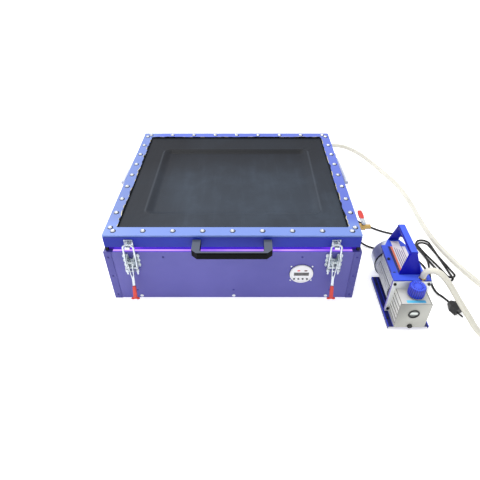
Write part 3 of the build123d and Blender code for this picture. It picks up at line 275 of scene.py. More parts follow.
def placed(points, origin, way):
    # turns +Z of the points towards way and moves them to origin
    way = np.asarray(way, float) / np.linalg.norm(way)
    side = np.cross([0, 0, 1.0], way)
    side = np.array([1.0, 0, 0]) if np.linalg.norm(side) < 1e-6 else side / np.linalg.norm(side)
    frameMatrix = np.stack([side, np.cross(way, side), way])
    return points @ frameMatrix + np.asarray(origin, float)


# the camera that matches the photo
view = {"place": (0.0386, -1.163, 0.909), "pitch": 50.9, "lens": 31.575, "shift": -0.0146}
camera = bpy.data.objects.new("camera", bpy.data.cameras.new("camera"))
camera.location = view["place"]
camera.rotation_euler = (math.radians(view["pitch"]), 0, 0)
camera.data.lens = view["lens"]
camera.data.sensor_width = 36
camera.data.shift_x = view["shift"]
camera.data.clip_end = 60
bpy.context.scene.collection.objects.link(camera)
bpy.context.scene.camera = camera
bpy.context.scene.view_settings.view_transform = "Standard"

studio = bpy.data.worlds.new("studio")
studio.use_nodes = True
sky = studio.node_tree
skyWay = sky.nodes.new("ShaderNodeTexCoord")
skyParts = sky.nodes.new("ShaderNodeSeparateXYZ")
skyLift = sky.nodes.new("ShaderNodeMath")
skyLift.operation = "ABSOLUTE"
skyRamp = sky.nodes.new("ShaderNodeMapRange")
skyRamp.inputs["To Min"].default_value = 0.62
skyRamp.inputs["To Max"].default_value = 1.3
sky.links.new(skyWay.outputs["Generated"], skyParts.inputs[0])
sky.links.new(skyParts.outputs["Z"], skyLift.inputs[0])
sky.links.new(skyLift.outputs[0], skyRamp.inputs["Value"])
sky.links.new(skyRamp.outputs["Result"], sky.nodes["Background"].inputs["Strength"])
sky.nodes["Background"].inputs["Color"].default_value = (1, 1, 1, 1)
bpy.context.scene.world = studio


def softbox(name, place, aim, size, power, colour=(1, 1, 1)):
    lamp = bpy.data.lights.new(name, "AREA")
    lamp.shape = "RECTANGLE"
    lamp.size, lamp.size_y = size
    lamp.energy = power
    lamp.color = colour
    thing = bpy.data.objects.new(name, lamp)
    thing.location = place
    way = np.array(aim, float) - np.array(place, float)
    thing.rotation_euler = (math.atan2(math.hypot(way[0], way[1]), -way[2]), 0,
                            math.atan2(way[1], way[0]) - math.pi / 2)
    bpy.context.scene.collection.objects.link(thing)


softbox("overheadLight", (-0.2, 0.6, 2.4), (0, 0, 0.1), (2.0, 1.4), 20)
softbox("keyLight", (-1.3, 0.9, 1.9), (0, 0, 0.1), (0.35, 0.35), 26)

# the loose cords: their routes are the same as in the frame
mains = {
    "diameter": 6.5, "floor": 3.3,
    "lead": [(364, 84, 30), (382, 84, 30), (402, 80, 21), (420, 72, 9), (438, 58, 3.3), (457, 40, 3.3),
             (478, 21, 3.3), (503, 3, 3.3), (530, -10, 3.3), (556, -18, 3.3), (577, -29, 3.3),
             (590.5, -43.5, 3.3)],
    "tail": [(614, -177, 8), (609, -203, 3.4), (601, -233, 3.3), (595, -264, 3.3), (597, -297, 4),
             (607, -320, 11), (617, -340, 11)],
    "centre": (644, -135), "lean": 7.5, "climb": 6.95,
    "entry": (-33, -60, 0), "exit": (-32, 5, 0),
    "ends": [(0, 98, 13), (-3.5, -64, 22.5), (7, 92, 13), (-14, -45, 20)],
}
hose = {
    "diameter": 16,
    "route": [(300, 330, 100), (300, 378, 100), (322, 432, 100), (378, 476, 96), (450, 500, 80), (520, 498, 50),
              (575, 462, 22), (615, 398, 8), (648, 300, 8), (662, 170, 8), (661, 40, 8), (672, -70, 8),
              (706, -190, 8), (758, -302, 8), (816, -404, 8), (806, -458, 8), (766, -494, 8), (712, -497, 8),
              (668, -469, 9), (641, -451, 28), (616, -434.6, 63), (587, -416, 100), (564.3, -401.4, 132.2),
              (550.2, -392.3, 149.3), (534.5, -382.3, 163.8), (521.7, -374, 165.9), (510, -366.5, 159.6),
              (503, -362, 147), (503, -362, 132)],
}
pumpLead = {
    "diameter": 6.5,
    "route": [(364, -60, 40), (382, -60, 40), (402, -65, 28), (424, -75, 9), (450, -88, 3.3), (494, -105, 3.3),
              (542, -117, 3.3), (582, -142, 3.3), (600, -180, 3.3), (597, -218, 9), (580, -250, 30),
              (558, -262, 45), (540, -262, 45)],
}


def hankPoint(across, along, level):
    # a point of the hank: across to the right, along towards the front
    turn = math.radians(mains["lean"])
    c, s = math.cos(turn), math.sin(turn)
    x, y = mains["centre"]
    return (x + across * c + along * s, y + across * s - along * c, mains["floor"] + level)


def belt(start, end):
    # the straight run from one round end to the next, as a belt lies on two pulleys
    over, ahead = end[0] - start[0], end[1] - start[1]
    apart = math.hypot(over, ahead)
    over, ahead = over / apart, ahead / apart
    lean = (start[2] - end[2]) / apart
    square = math.sqrt(1 - lean * lean)
    side = (over * lean - ahead * square, ahead * lean + over * square)
    return ([start[i] + start[2] * side[i] for i in (0, 1)], [end[i] + end[2] * side[i] for i in (0, 1)])


def hankBend(centre, arrive, leave, level):
    # control points that carry the cord round one end, from one run to the next
    a = math.atan2(arrive[1] - centre[1], arrive[0] - centre[0])
    b = math.atan2(leave[1] - centre[1], leave[0] - centre[0])
    sweepAngle = (b - a) % (2 * math.pi) if (b - a) % (2 * math.pi) < 4.4 else (b - a) % (2 * math.pi) - 2 * math.pi
    if centre[1] > 0:
        sweepAngle = -((a - b) % (2 * math.pi))
    else:
        sweepAngle = -((a - b) % (2 * math.pi))
    reach = centre[2] / math.cos(sweepAngle / 8)
    return [hankPoint(centre[0] + reach * math.cos(a + sweepAngle * (k + 0.5) / 4),
                      centre[1] + reach * math.sin(a + sweepAngle * (k + 0.5) / 4), level) for k in range(4)]


def hankRoute():
    # two turns of the bundle: five runs and the four bends between them
    top = mains["climb"]
    stops = [mains["entry"]] + mains["ends"] + [mains["exit"]]
    runs = [belt(first, last) for first, last in zip(stops, stops[1:])]
    levels = [(0, 0), (0, 0), (0, top), (top, top), (top, top)]
    route = []
    for i, ((first, last), (low, high)) in enumerate(zip(runs, levels)):
        for t in (0.0, 0.12, 0.36, 0.64, 0.88, 1.0):
            rise = low + (high - low) * {0.0: 0, 0.12: 0, 0.36: 0.22, 0.64: 0.78, 0.88: 1, 1.0: 1}[t]
            spot = [a + (b - a) * t for a, b in zip(first, last)]
            route.append(hankPoint(spot[0], spot[1], rise))
        if i < 4:
            route += hankBend(mains["ends"][i], last, runs[i + 1][0], high)
    first, last = runs[-1]
    length = math.dist(first, last)
    beyond = [b + (b - a) / length * 14 for a, b in zip(first, last)]
    return route + [hankPoint(beyond[0], beyond[1], top)]


def cordCurve(name, route, diameter, material):
    # a smooth round cord whose control points are the route's points
    curve = bpy.data.curves.new(name, "CURVE")
    curve.dimensions = "3D"
    curve.bevel_depth = diameter / 2 * mm
    curve.bevel_resolution = 5
    curve.resolution_u = 12
    curve.use_fill_caps = True
    spline = curve.splines.new("NURBS")
    spline.points.add(len(route) - 1)
    points = np.ones((len(route), 4))
    points[:, :3] = np.array(route) * mm
    spline.points.foreach_set("co", points.ravel())
    spline.order_u = 3
    spline.use_endpoint_u = True
    spline.resolution_u = 12
    curve.materials.append(material)
    piece = bpy.data.objects.new(name, curve)
    bpy.context.scene.collection.objects.link(piece)
    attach(piece, "base")
    return piece


def blackCable():
    p = Paint("black cable")
    fine = p.noise(900, 2)
    broad = p.noise(30, 3)
    colour = p.mix(broad, tone(8, 8, 9), tone(20, 20, 22))
    return p.done(Base_Color=colour, Roughness=0.36 + 0.16 * broad, Normal=p.bump(fine, 0.15, 0.0003),
                  Specular_IOR_Level=0.3)


def creamHose():
    p = Paint("cream hose")
    broad = p.noise(14, 4)
    fine = p.noise(220, 3)
    colour = p.mix(broad, tone(196, 194, 181), tone(219, 217, 206))
    colour = p.mix(fine.ramp(0.52, 0.75) * 0.35, colour, tone(178, 171, 150))
    # painted shade: the hose is darker on faces that look down
    undersideShade = p.facing().ramp(0.1, -0.7)
    colour = p.mix(undersideShade * 0.6, colour, tone(150, 144, 124))
    return p.done(Base_Color=colour, Roughness=0.3 + 0.2 * fine, Normal=p.bump(fine, 0.12, 0.0006))


cable = blackCable()
hoseSkin = creamHose()
mainsCord = cordCurve("mainsCord", mains["lead"] + hankRoute() + mains["tail"], mains["diameter"], cable)
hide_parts("power_cord", "power_cord_hank")
vacuumLine = cordCurve("vacuumLine", hose["route"], hose["diameter"], hoseSkin)
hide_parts("vacuum_hose")
pumpCable = cordCurve("pumpCable", pumpLead["route"], pumpLead["diameter"], cable)
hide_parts("pump_cord")
print("cords laid")

floorPaint = Paint("studio floor")
floorPaint.done(Base_Color=(0.96, 0.96, 0.96, 1), Roughness=0.8, Emission_Color=(1, 1, 1, 1), Emission_Strength=0.45)
floorMesh = bpy.data.meshes.new("floor")
floorMesh.from_pydata([(-20, -20, 0), (20, -20, 0), (20, 30, 0), (-20, 30, 0)], [], [[0, 1, 2, 3]])
floorMesh.materials.append(floorPaint.material)
floor = bpy.data.objects.new("floor", floorMesh)
bpy.context.scene.collection.objects.link(floor)


def rimGlow(p):
    # violet light that spills on the rim in front of the glass: a bright line inside, deeper outside
    x, y, z = p.axes()
    patch = p.noise(5.5, 3, 0.6).ramp(0.34, 0.62)
    core = p.mix(patch, tone(150, 68, 232), tone(232, 172, 252))
    line = y.ramp(-0.3095, -0.3050) * y.ramp(-0.2990, -0.3030)
    spill = p.mix(line, tone(66, 38, 176), core)
    return p.mix(z > 0.1752, (0, 0, 0, 1), spill)


def paintedSteel(name, colour, deep, gloss=0.34, grain=700, shine=0.5, top=None, glow=None):
    # smooth enamel on sheet steel: slow drifts of tone, fine orange peel and dull smears; where top is given, faces
    # that look up are painted paler, painted light from above; where glow is given, violet light is painted into the
    # emission
    p = Paint(name)
    drift = p.noise(3.5, 4, 0.55)
    smear = p.noise(9, 5, 0.6, p.stretched(1, 1, 3))
    peel = p.noise(grain, 2)
    tint = p.mix(drift.ramp(0.3, 0.7), colour, deep)
    if top:
        # painted light: faces that look up take the paler top tone
        tint = p.mix(p.facing().ramp(0.55, 0.95), tint, top)
    if glow:
        p.done(Emission_Color=glow(p), Emission_Strength=1.0)
    return p.done(Base_Color=tint, Roughness=gloss + 0.16 * smear, Normal=p.bump(peel, 0.06, 0.0004),
                  Specular_IOR_Level=shine)


def zincPlate(name, light=(226, 231, 236), dark=(160, 170, 180), rough=0.26, metal=0.92):
    # bright zinc: small crystals of slightly different grey, with a brushed grain
    p = Paint(name)
    spangle = p.node("ShaderNodeTexVoronoi", {}, {"Vector": p.coords, "Scale": 320.0}, "Distance")
    cloud = p.noise(60, 4, 0.6)
    grain = p.noise(500, 3, 0.6, p.stretched(1, 1, 6))
    tint = p.mix((spangle * 0.5 + cloud * 0.6).clamped(), tone(*dark), tone(*light))
    return p.done(Base_Color=tint, Metallic=metal, Roughness=rough + 0.22 * cloud,
                  Normal=p.bump(grain + spangle, 0.1, 0.0003))


def plastic(name, colour, deep, rough=0.38, grain=450, strength=0.12, shine=0.5, top=None):
    # moulded plastic with a fine spark-eroded skin; where top is given, faces that look up take that tone as painted
    # light from above
    p = Paint(name)
    fine = p.noise(grain, 3, 0.6)
    broad = p.noise(18, 3)
    tint = p.mix(broad.ramp(0.3, 0.72), tone(*colour), tone(*deep))
    if top:
        # painted light: the top tone on faces that look up
        tint = p.mix(p.facing().ramp(0.5, 0.95), tint, tone(*top))
    return p.done(Base_Color=tint, Roughness=rough + 0.15 * broad, Normal=p.bump(fine, strength, 0.0004),
                  Specular_IOR_Level=shine)


def castAluminium(name, light, dark, stretch=(1, 1, 1), rough=0.36, metal=0.75):
    # bare aluminium with cloudy tone and drawn lines along its length
    p = Paint(name)
    lines = p.noise(420, 3, 0.7, p.stretched(*stretch))
    cloud = p.noise(26, 4, 0.6)
    tint = p.mix((cloud * 0.7 + lines * 0.4).clamped(), tone(*dark), tone(*light))
    return p.done(Base_Color=tint, Metallic=metal, Roughness=rough + 0.2 * lines,
                  Normal=p.bump(lines, 0.16, 0.0004))


def blanketRubber():
    # dull black rubber sheet with random chalky tone and long faint roll marks, paler towards the front and in the
    # dish; painted shade to the left, at the rear and on the dish's rear wall, and a faint painted highlight along
    # the dish's side folds
    p = Paint("rubber blanket")
    x, y, z = p.axes()
    chalk = p.noise(5.5, 6, 0.65)
    roll = p.noise(11, 4, 0.6, p.stretched(3.2, 0.5, 1))
    dust = p.noise(1100, 2, 0.6)
    inside = abs(x).ramp(0.262, 0.225) * abs(y + 0.03).ramp(0.215, 0.12)
    near = y.ramp(0.2, -0.25)
    lift = (chalk.ramp(0.36, 0.72) * 0.4 + roll.ramp(0.45, 0.8) * 0.2 + inside * near * 0.25 + near * 0.25).clamped()
    tint = p.mix(lift, tone(26, 31, 40), tone(56, 66, 79))
    # painted shade: darker to the left and at the rear
    shade = (x.ramp(-0.10, -0.30) * 0.75 + y.ramp(0.0, 0.2) * 0.7).clamped()
    tint = p.mix(shade, tint, tone(13, 17, 26))
    # painted shadow on the dish's rear wall
    rearWallShade = y.ramp(0.160, 0.170) * y.ramp(0.188, 0.180) * abs(x).ramp(0.240, 0.225)
    tint = p.mix(rearWallShade * 0.8, tint, tone(4, 6, 10))
    # painted highlight along the dish's side folds
    sideFoldHighlight = abs(abs(x) - 0.2490).ramp(0.0045, 0.0012) * abs(y + 0.01).ramp(0.192, 0.172)
    tint = p.mix(sideFoldHighlight * 0.1, tint, tone(112, 120, 132))
    return p.done(Base_Color=tint, Roughness=0.5 + 0.2 * chalk, Normal=p.bump(dust + roll * 2.0, 0.2, 0.0005),
                  Specular_IOR_Level=0.22)


def clampEnamel():
    # the lid's pale blue enamel, with painted light along the left rail and a painted reflection that makes the front
    # rail paler
    p = Paint("clamp enamel")
    x, y, z = p.axes()
    drift = p.noise(3.5, 4, 0.55)
    peel = p.noise(700, 2)
    tint = p.mix(drift.ramp(0.3, 0.7), tone(84, 102, 190), tone(76, 94, 182))
    # painted light: the left rail paler
    tint = p.mix(x.ramp(-0.27, -0.31), tint, tone(98, 118, 178))
    # painted reflection: the front rail paler
    tint = p.mix(y.ramp(-0.22, -0.27), tint, tone(104, 129, 197))
    return p.done(Base_Color=tint, Roughness=0.34 + 0.12 * drift, Normal=p.bump(peel, 0.06, 0.0004))


def ribbedMetal(name, depth, light, dark, rough=0.4, metal=0.4):
    # drawn alloy with painted shade in its gaps: depth(p) gives 1 on the ribs' tops and 0 in the gaps, where the dark
    # tone is painted
    p = Paint(name)
    lines = p.noise(420, 3, 0.7, p.stretched(1, 0.06, 1))
    cloud = p.noise(26, 4, 0.6)
    tint = p.mix((cloud * 0.5 + lines * 0.4).clamped(), tone(*[int(v * 0.86) for v in light]), tone(*light))
    # painted shade in the gaps
    tint = p.mix(depth(p), tone(*dark), tint)
    return p.done(Base_Color=tint, Metallic=metal, Roughness=rough + 0.2 * lines, Normal=p.bump(lines, 0.16, 0.0004))


def finGapShade(p):
    # painted shade mask: distance from the motor's shaft, and under the saddle's rails the distance out to the side;
    # 0 in the gaps between fins
    x, y, z = p.axes()
    r = ((x - 0.474) * (x - 0.474) + (z - 0.063) * (z - 0.063)).calc("SQRT")
    high = z > 0.0872
    return high * abs(x - 0.474).ramp(0.0405, 0.0425) + (1.0 - high) * r.ramp(0.0452, 0.0476)


def handleBlack():
    # black moulding, with a painted highlight making the tops of its two legs grey
    p = Paint("handle moulding")
    x, y, z = p.axes()
    broad = p.noise(18, 3)
    tint = p.mix(broad.ramp(0.3, 0.72), (0.0016, 0.0016, 0.002, 1), (0.0008, 0.0008, 0.001, 1))
    # painted highlight on the legs' tops
    tint = p.mix(p.facing().ramp(0.5, 0.95) * y.ramp(-0.3610, -0.3590), tint, tone(84, 90, 104))
    return p.done(Base_Color=tint, Roughness=0.5, Normal=p.bump(p.noise(450, 3, 0.6), 0.12, 0.0004),
                  Specular_IOR_Level=0.07)


def chamberShade(p):
    # painted shade mask: 0 in the side grooves, and on the front face a painted shade that darkens up and to the left
    x, y, z = p.axes()
    side = abs(x - 0.474).ramp(0.0385, 0.0400)
    front = y < -0.4285
    slope = ((x - 0.430) * 7.0 + (0.105 - z) * 5.5).ramp(0.0, 0.75)
    face = 0.2 + 0.42 * slope
    inner = abs(x - 0.474) < 0.0375
    return (front * face + (1.0 - front) * (inner + (1.0 - inner) * side)).clamped()


def capPlastic():
    # ribbed cap: painted light on faces that look up, painted shade in the grooves between ribs and in the ring of
    # dimples on top
    p = Paint("cap plastic")
    x, y, z = p.axes()
    dx, dy = x - 0.480, y + 0.3965
    angle = p.node("ShaderNodeMath", {"operation": "ARCTAN2"}, [dy, dx])
    r = (dx * dx + dy * dy).calc("SQRT")
    up = p.facing()
    # painted light: paler where the cap faces up
    tint = p.mix(up.ramp(0.5, 0.95), tone(26, 38, 184), tone(52, 80, 222))
    grooveShade = (angle * 24.0).calc("COSINE").ramp(0.1, -0.5) * up.ramp(0.5, 0.2)
    tint = p.mix(grooveShade * 0.75, tint, tone(10, 16, 110))
    dimpleShade = (angle * 14.0).calc("COSINE").ramp(0.35, 0.7) * (abs(r - 0.0128)).ramp(0.0026, 0.0018) * up.ramp(0.4, 0.8)
    tint = p.mix(dimpleShade, tint, tone(20, 34, 150))
    return p.done(Base_Color=tint, Roughness=0.34, Normal=p.bump(p.noise(450, 2), 0.08, 0.0003))


def sightLens():
    # oil sight glass: dark lower half, bright band where the window shows through
    p = Paint("sight lens")
    x, y, z = p.axes()
    wave = p.noise(60, 2, 0.5)
    level = (z + wave * 0.006).ramp(0.064, 0.0695)
    tint = p.mix(level, tone(66, 72, 68), tone(206, 214, 210))
    tint = p.mix((z + wave * 0.004).ramp(0.072, 0.076), tint, tone(120, 126, 122))
    return p.done(Base_Color=tint, Roughness=0.06, Coat_Weight=0.6)


def litGlass():
    # float glass whose edges carry the violet light of the lamps below
    p = Paint("lit glass")
    edge = abs(p.facing()) < 0.5
    x, y, z = p.axes()
    hot = p.noise(7, 3, 0.6) * 0.5 + (abs(x) - 0.268).calc("ABSOLUTE").ramp(0.04, 0.0) * 0.3
    glow = p.mix(hot.ramp(0.24, 0.6), tone(44, 12, 140), tone(104, 40, 196))
    return p.done(Base_Color=p.mix(edge, tone(214, 224, 236), tone(58, 24, 150)), Roughness=0.06,
                  Emission_Color=p.mix(edge, (0, 0, 0, 1), glow), Emission_Strength=1.2,
                  Transmission_Weight=0.85, IOR=1.46)


def violetLamp():
    p = Paint("violet lamps")
    x, y, z = p.axes()
    beads = (y * 520.0).calc("SINE").ramp(-0.2, 0.6)
    return p.done(Base_Color=tone(230, 220, 255), Emission_Color=p.mix(beads, tone(90, 30, 220), tone(210, 150, 255)),
                  Emission_Strength=2.5, Roughness=0.4)


finish = {
    "baseBlue": paintedSteel("base enamel", tone(86, 83, 162), tone(74, 72, 150), 0.36, shine=0.45),
    "frontBlue": paintedSteel("front enamel", tone(86, 83, 162), tone(74, 72, 150), 0.36, shine=0.45, glow=rimGlow),
    # painted shade: the side panels take a darker copy of the base enamel
    "shadedSideBlue": paintedSteel("side enamel with painted shade", tone(65, 62, 146), tone(56, 54, 136)),
    # the lid's top faces get painted light through top
    "lidBlue": paintedSteel("lid enamel", tone(22, 42, 156), tone(18, 34, 146), 0.42, shine=0.3,
                            top=tone(98, 128, 208)),
    "clampBlue": clampEnamel(),
    "zinc": zincPlate("zinc plate"),
    "zincWhite": zincPlate("bright zinc", (240, 242, 244), (190, 196, 204), 0.22),
    "zincDark": zincPlate("dull zinc", (222, 232, 234), (136, 150, 160), 0.3, 0.6),
    "shadowRing": plastic("painted shadow rings", (10, 14, 44), (8, 10, 34), 0.6, shine=0.1),
    "lipBlue": plastic("folded lip", (54, 66, 210), (44, 56, 196), 0.3, 600, 0.05, 0.4),
    "plateEdgeLight": plastic("painted edge light", (128, 118, 192), (116, 106, 180), 0.4),
    "darkScrew": plastic("blued screws", (44, 38, 132), (34, 30, 112), 0.4),
    "black": handleBlack(),
    "blackCord": plastic("black fittings", (22, 22, 24), (14, 14, 16), 0.42, shine=0.35),
    "foam": plastic("seal foam", (22, 22, 24), (12, 12, 14), 0.8, 900, 0.5),
    "timer": plastic("timer moulding", (221, 221, 225), (212, 212, 217), 0.36),
    "display": plastic("display", (92, 90, 92), (82, 80, 84), 0.16),
    "digits": plastic("display digits", (24, 26, 28), (18, 20, 22), 0.3),
    "lamp": plastic("red lamp", (222, 46, 62), (200, 36, 52), 0.22),
    "lampDark": plastic("dark lamp", (92, 40, 48), (72, 30, 38), 0.22),
    "button": plastic("button rubber", (74, 76, 84), (62, 64, 72), 0.5),
    "red": plastic("red dip", (204, 52, 40), (186, 42, 34), 0.28),
    # pumpBlue and pumpNavy get painted top light through their last tone
    "pumpBlue": plastic("pump blue", (3, 9, 162), (2, 6, 146), 0.3, 600, 0.05, 0.22, (64, 90, 216)),
    "pumpNavy": plastic("pump base enamel", (14, 18, 120), (10, 14, 104), 0.3, 600, 0.05, 0.4, (16, 20, 92)),
    "capBlue": capPlastic(),
    "rubber": blanketRubber(),
    "lip": plastic("perished seal", (24, 27, 33), (13, 15, 20), 0.7, 700, 0.6, 0.2),
    "bead": plastic("cream sealant", (214, 206, 168), (190, 180, 140), 0.6, 800, 0.5),
    "glass": litGlass(),
    "lampViolet": violetLamp(),
    "tray": plastic("tray white", (232, 230, 240), (222, 220, 232), 0.5),
    "alloy": castAluminium("pump alloy", (240, 242, 242), (206, 210, 212), (1, 0.06, 1), 0.4, 0.45),
    "finned": ribbedMetal("finned alloy", finGapShade, (248, 250, 252), (92, 97, 106)),
    "alloyFace": ribbedMetal("chamber alloy", chamberShade, (222, 222, 214), (92, 94, 92), 0.42, 0.3),
    "fan": castAluminium("fan cover", (228, 232, 240), (158, 164, 180), (1, 1, 1), 0.26),
    "brass": zincPlate("brass", (214, 184, 120), (150, 118, 62), 0.24),
    "chrome": zincPlate("chrome rod", (240, 242, 244), (214, 218, 222), 0.1),
    "stayWhite": plastic("stay enamel", (206, 212, 226), (190, 196, 212), 0.3),
    "labelWhite": plastic("label white", (214, 208, 214), (200, 194, 202), 0.5),
    "labelOrange": plastic("label orange", (222, 120, 84), (208, 106, 74), 0.5),
    "labelDark": plastic("label navy", (34, 36, 92), (26, 28, 80), 0.5),
    "labelCyan": plastic("label cyan", (92, 192, 222), (60, 158, 204), 0.5),
    "labelGrey": plastic("label rules", (66, 64, 118), (56, 54, 104), 0.5),
    "sight": sightLens(),
    "cable": cable,
}

dress = {
    "base_pan": "shadedSideBlue", "left_side_panel": "shadedSideBlue", "right_side_panel": "shadedSideBlue",
    "front_panel": "frontBlue", "back_panel": "baseBlue", "panel_screws": "darkScrew", "zinc_screws": "zincWhite",
    "glass_plate": "glass", "glass_seal": "foam", "light_tray": "tray", "uv_led_strips": "lampViolet",
    "led_driver": "alloy", "timer_body": "timer", "timer_window": "display", "timer_lamps": "lamp",
    "timer_button_1": "button", "timer_button_2": "button", "timer_button_3": "button",
    "timer_button_4": "button", "base_hinge_leaves": "zinc", "base_stay_brackets": "zinc",
    "latch_brackets": "zinc", "hose_port": "brass", "cord_glands": "blackCord", "latch_keepers": "zinc",
    "lid_frame": "lidBlue", "clamp_frame": "clampBlue", "rubber_blanket": "rubber", "blanket_bolts": "zincWhite",
    "lid_handle": "black", "lid_hinge_leaves": "zinc", "lid_stay_brackets": "zinc", "release_valve": "brass",
    "valve_lever": "zinc", "left_stay_rod": "chrome", "right_stay_rod": "chrome", "left_stay_tube": "stayWhite",
    "right_stay_tube": "stayWhite", "left_latch_lever": "zinc", "right_latch_lever": "zinc",
    "left_latch_grip": "red", "right_latch_grip": "red", "left_bail": "zinc", "right_bail": "zinc",
    "pump_base": "pumpNavy", "pump_feet": "blackCord", "motor_housing": "finned", "fan_cover": "fan",
    "pump_handle": "pumpBlue", "pump_mid_plate": "alloy", "oil_chamber": "alloyFace", "oil_cap": "capBlue",
    "sight_glass": "sight", "inlet_fitting": "brass", "pump_screws": "blackCord", "power_plug": "blackCord",
}
edges = {"lid_handle": 1.6, "pump_handle": 2.2, "clamp_frame": 0.8, "lid_frame": 0.8, "front_panel": 0.5,
         "left_side_panel": 0.5, "right_side_panel": 0.5, "back_panel": 0.5, "oil_chamber": 2.0,
         "pump_mid_plate": 0.8, "pump_base": 0.8, "latch_keepers": 0.5, "timer_body": 0.6}
for name, key in dress.items():
    node = nodes[name]
    node.data.materials.clear()
    node.data.materials.append(finish[key])
    if name in edges:
        weld = node.modifiers.new("weld", "WELD")
        weld.merge_threshold = 0.00002
        flat = node.modifiers.new("flat faces", "DECIMATE")
        flat.decimate_type = "DISSOLVE"
        flat.angle_limit = math.radians(1)
        round = node.modifiers.new("rounded edges", "BEVEL")
        round.width = edges[name] * mm
        round.segments = 3
        round.limit_method = "ANGLE"
        round.angle_limit = math.radians(50)
        round.use_clamp_overlap = True
        even = node.modifiers.new("even shading", "WEIGHTED_NORMAL")
        even.keep_sharp = True
print("frame dressed")


def band(name, x, y, z, material, body, ends=None):
    # a plain thin block between two values on each axis
    verts = [(i, j, k) for k in z for j in y for i in x]
    faces = [[0, 2, 3, 1], [4, 5, 7, 6], [0, 1, 5, 4], [2, 6, 7, 3], [0, 4, 6, 2], [1, 3, 7, 5]]
    return meshPiece(name, verts, faces, finish[material], body, 30)


def screwHead(radius, height, cross=0.24, count=24):
    # a low dome with a cross recess; z = height * (1 - (r / radius)^2.6) less the cross
    a = np.arange(count) / count * 2 * math.pi
    slots = (np.cos(4 * a) > 0.2).astype(float)
    rings = []
    for r, deep in ((1.0, 0), (0.97, 0), (0.86, 0), (0.7, 0), (0.56, 0), (0.54, 1), (0.2, 2)):
        z = height * (1 - r ** 2.6) * np.ones(count) if r < 1 else np.zeros(count)
        if deep:
            z = z - height * cross * (slots if deep == 1 else 1)
        rings.append(np.stack([radius * r * np.cos(a), radius * r * np.sin(a), z], -1))
    points = np.stack(rings)
    return points


def fastener(radius, height, shankRadius, shankEnd, nut=None):
    # head, shank and, if asked, a hexagon nut: (across, low, high), all about Z
    parts = [ringSurface(screwHead(radius, height)[::-1])]
    shank = turned([shankRadius, shankRadius], [shankEnd, 0.2], 12)
    parts.append(ringSurface(shank))
    if nut:
        across, low, high = nut
        parts.append(ringSurface(turned([across / math.sqrt(3)] * 2, [low, high], 6)))
    return joined(parts)


def fasteners(name, spots, way, shape, material, body, replaced=()):
    # the same fastener at several spots, its head towards way
    points, faces = shape
    verts, quads = joined([(placed(points, spot, way), faces) for spot in spots])
    piece = outwards(meshPiece(name, verts, quads, finish[material], body, 35))
    if replaced:
        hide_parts(*replaced)
    return piece


rowX = np.linspace(-315.5, 315.5, 9)
rowY = np.linspace(-272, 276, 9)
boltSpots = [(x, -287, 228) for x in rowX] + [(x, 289, 228) for x in rowX]
boltSpots += [(side * 326, y, 228) for side in (-1, 1) for y in rowY]
fasteners("blanketBolts", boltSpots, (0, 0, 1), fastener(6.25, 4.5, 3.0, -14.5, (10, -12.5, -8.5)), "zincWhite",
          "lid", ("blanket_bolts",))
# dark rings under the bolt heads, set off to the lower right: a painted shadow of each head
boltShadowParts = []
for bx, by, bz in boltSpots:
    points, quads = ringSurface(turned([7.5, 7.5, 6.4], [228.02, 228.35, 228.5], 20))
    boltShadowParts.append((points + np.array([bx + 0.9, by - 0.8, 0]), quads))
verts, faces = joined(boltShadowParts)
outwards(meshPiece("boltShadowRings", verts, faces, finish["shadowRing"], "lid", 35))
print("blanket bolts")


def signedBox(x, y, halfX, halfY, corner):
    # distance outside (+) or inside (-) a rectangle with round corners
    qx = np.abs(x) - halfX + corner
    qy = np.abs(y) - halfY + corner
    return np.hypot(np.maximum(qx, 0), np.maximum(qy, 0)) + np.minimum(np.maximum(qx, qy), 0) - corner


def blanketSurface():
    # the sheet sinks into a soft dish, with a low ridge round its mouth, corner creases and slow waves
    x = np.unique(np.concatenate([np.linspace(-337, 337, 120), np.linspace(-256, -222, 22),
                                  np.linspace(222, 256, 22)]))
    y = np.unique(np.concatenate([np.linspace(-303, 303, 110), np.linspace(-214, -180, 22),
                                  np.linspace(160, 194, 22)]))
    gx, gy = np.meshgrid(x, y)
    d = signedBox(gx, gy + 10, 248, 196, 30)
    t = np.clip((2 - d) / 26, 0, 1)
    z = -8.4 * t * t * (3 - 2 * t)
    z += 0.85 * np.exp(-((d - 1.0) / 2.4) ** 2) * (0.4 + 0.6 * (gy > 100) + 0.5 * (gx > 200))
    corner = np.exp(-((np.abs(gx) - 246) / 26) ** 2 - ((np.abs(gy + 10) - 194) / 26) ** 2)
    z += 0.3 * corner * np.sin((np.abs(gx) - np.abs(gy)) * 0.2)
    z += -0.35 * np.exp(-((np.abs(gx) - 270 - 4 * np.sin(gy * 0.021)) / 3.5) ** 2) * (np.abs(gy) < 240)
    inner = np.clip(-d / 60, 0, 1)
    z += 0.45 * inner * (np.sin(gx * 0.013 + 1.1) * np.sin(gy * 0.017 + 0.4) + 0.5 * np.sin(gx * 0.031 + gy * 0.022))
    held = np.clip((np.maximum(np.abs(gx) - 300, np.abs(gy) - 262)) / 12, 0, 1)
    z *= 1 - held
    z = np.minimum(z, 0.9)
    top = np.stack([gx, gy, 224 + z], -1)
    low = np.stack([gx, gy, 221.5 + np.minimum(z, 0)], -1)
    rows, columns = gx.shape
    ring = ([i for i in range(columns)] + [(r + 1) * columns - 1 for r in range(1, rows)]
            + [rows * columns - 2 - i for i in range(columns - 1)]
            + [(rows - 2 - r) * columns for r in range(rows - 2)])
    total = rows * columns
    faces = gridFaces(rows, columns) + [f[::-1] for f in gridFaces(rows, columns, start=total)]
    faces += [[a + total, b + total, b, a] for a, b in zip(ring, ring[1:] + ring[:1])]
    return np.concatenate([top.reshape(-1, 3), low.reshape(-1, 3)]), faces


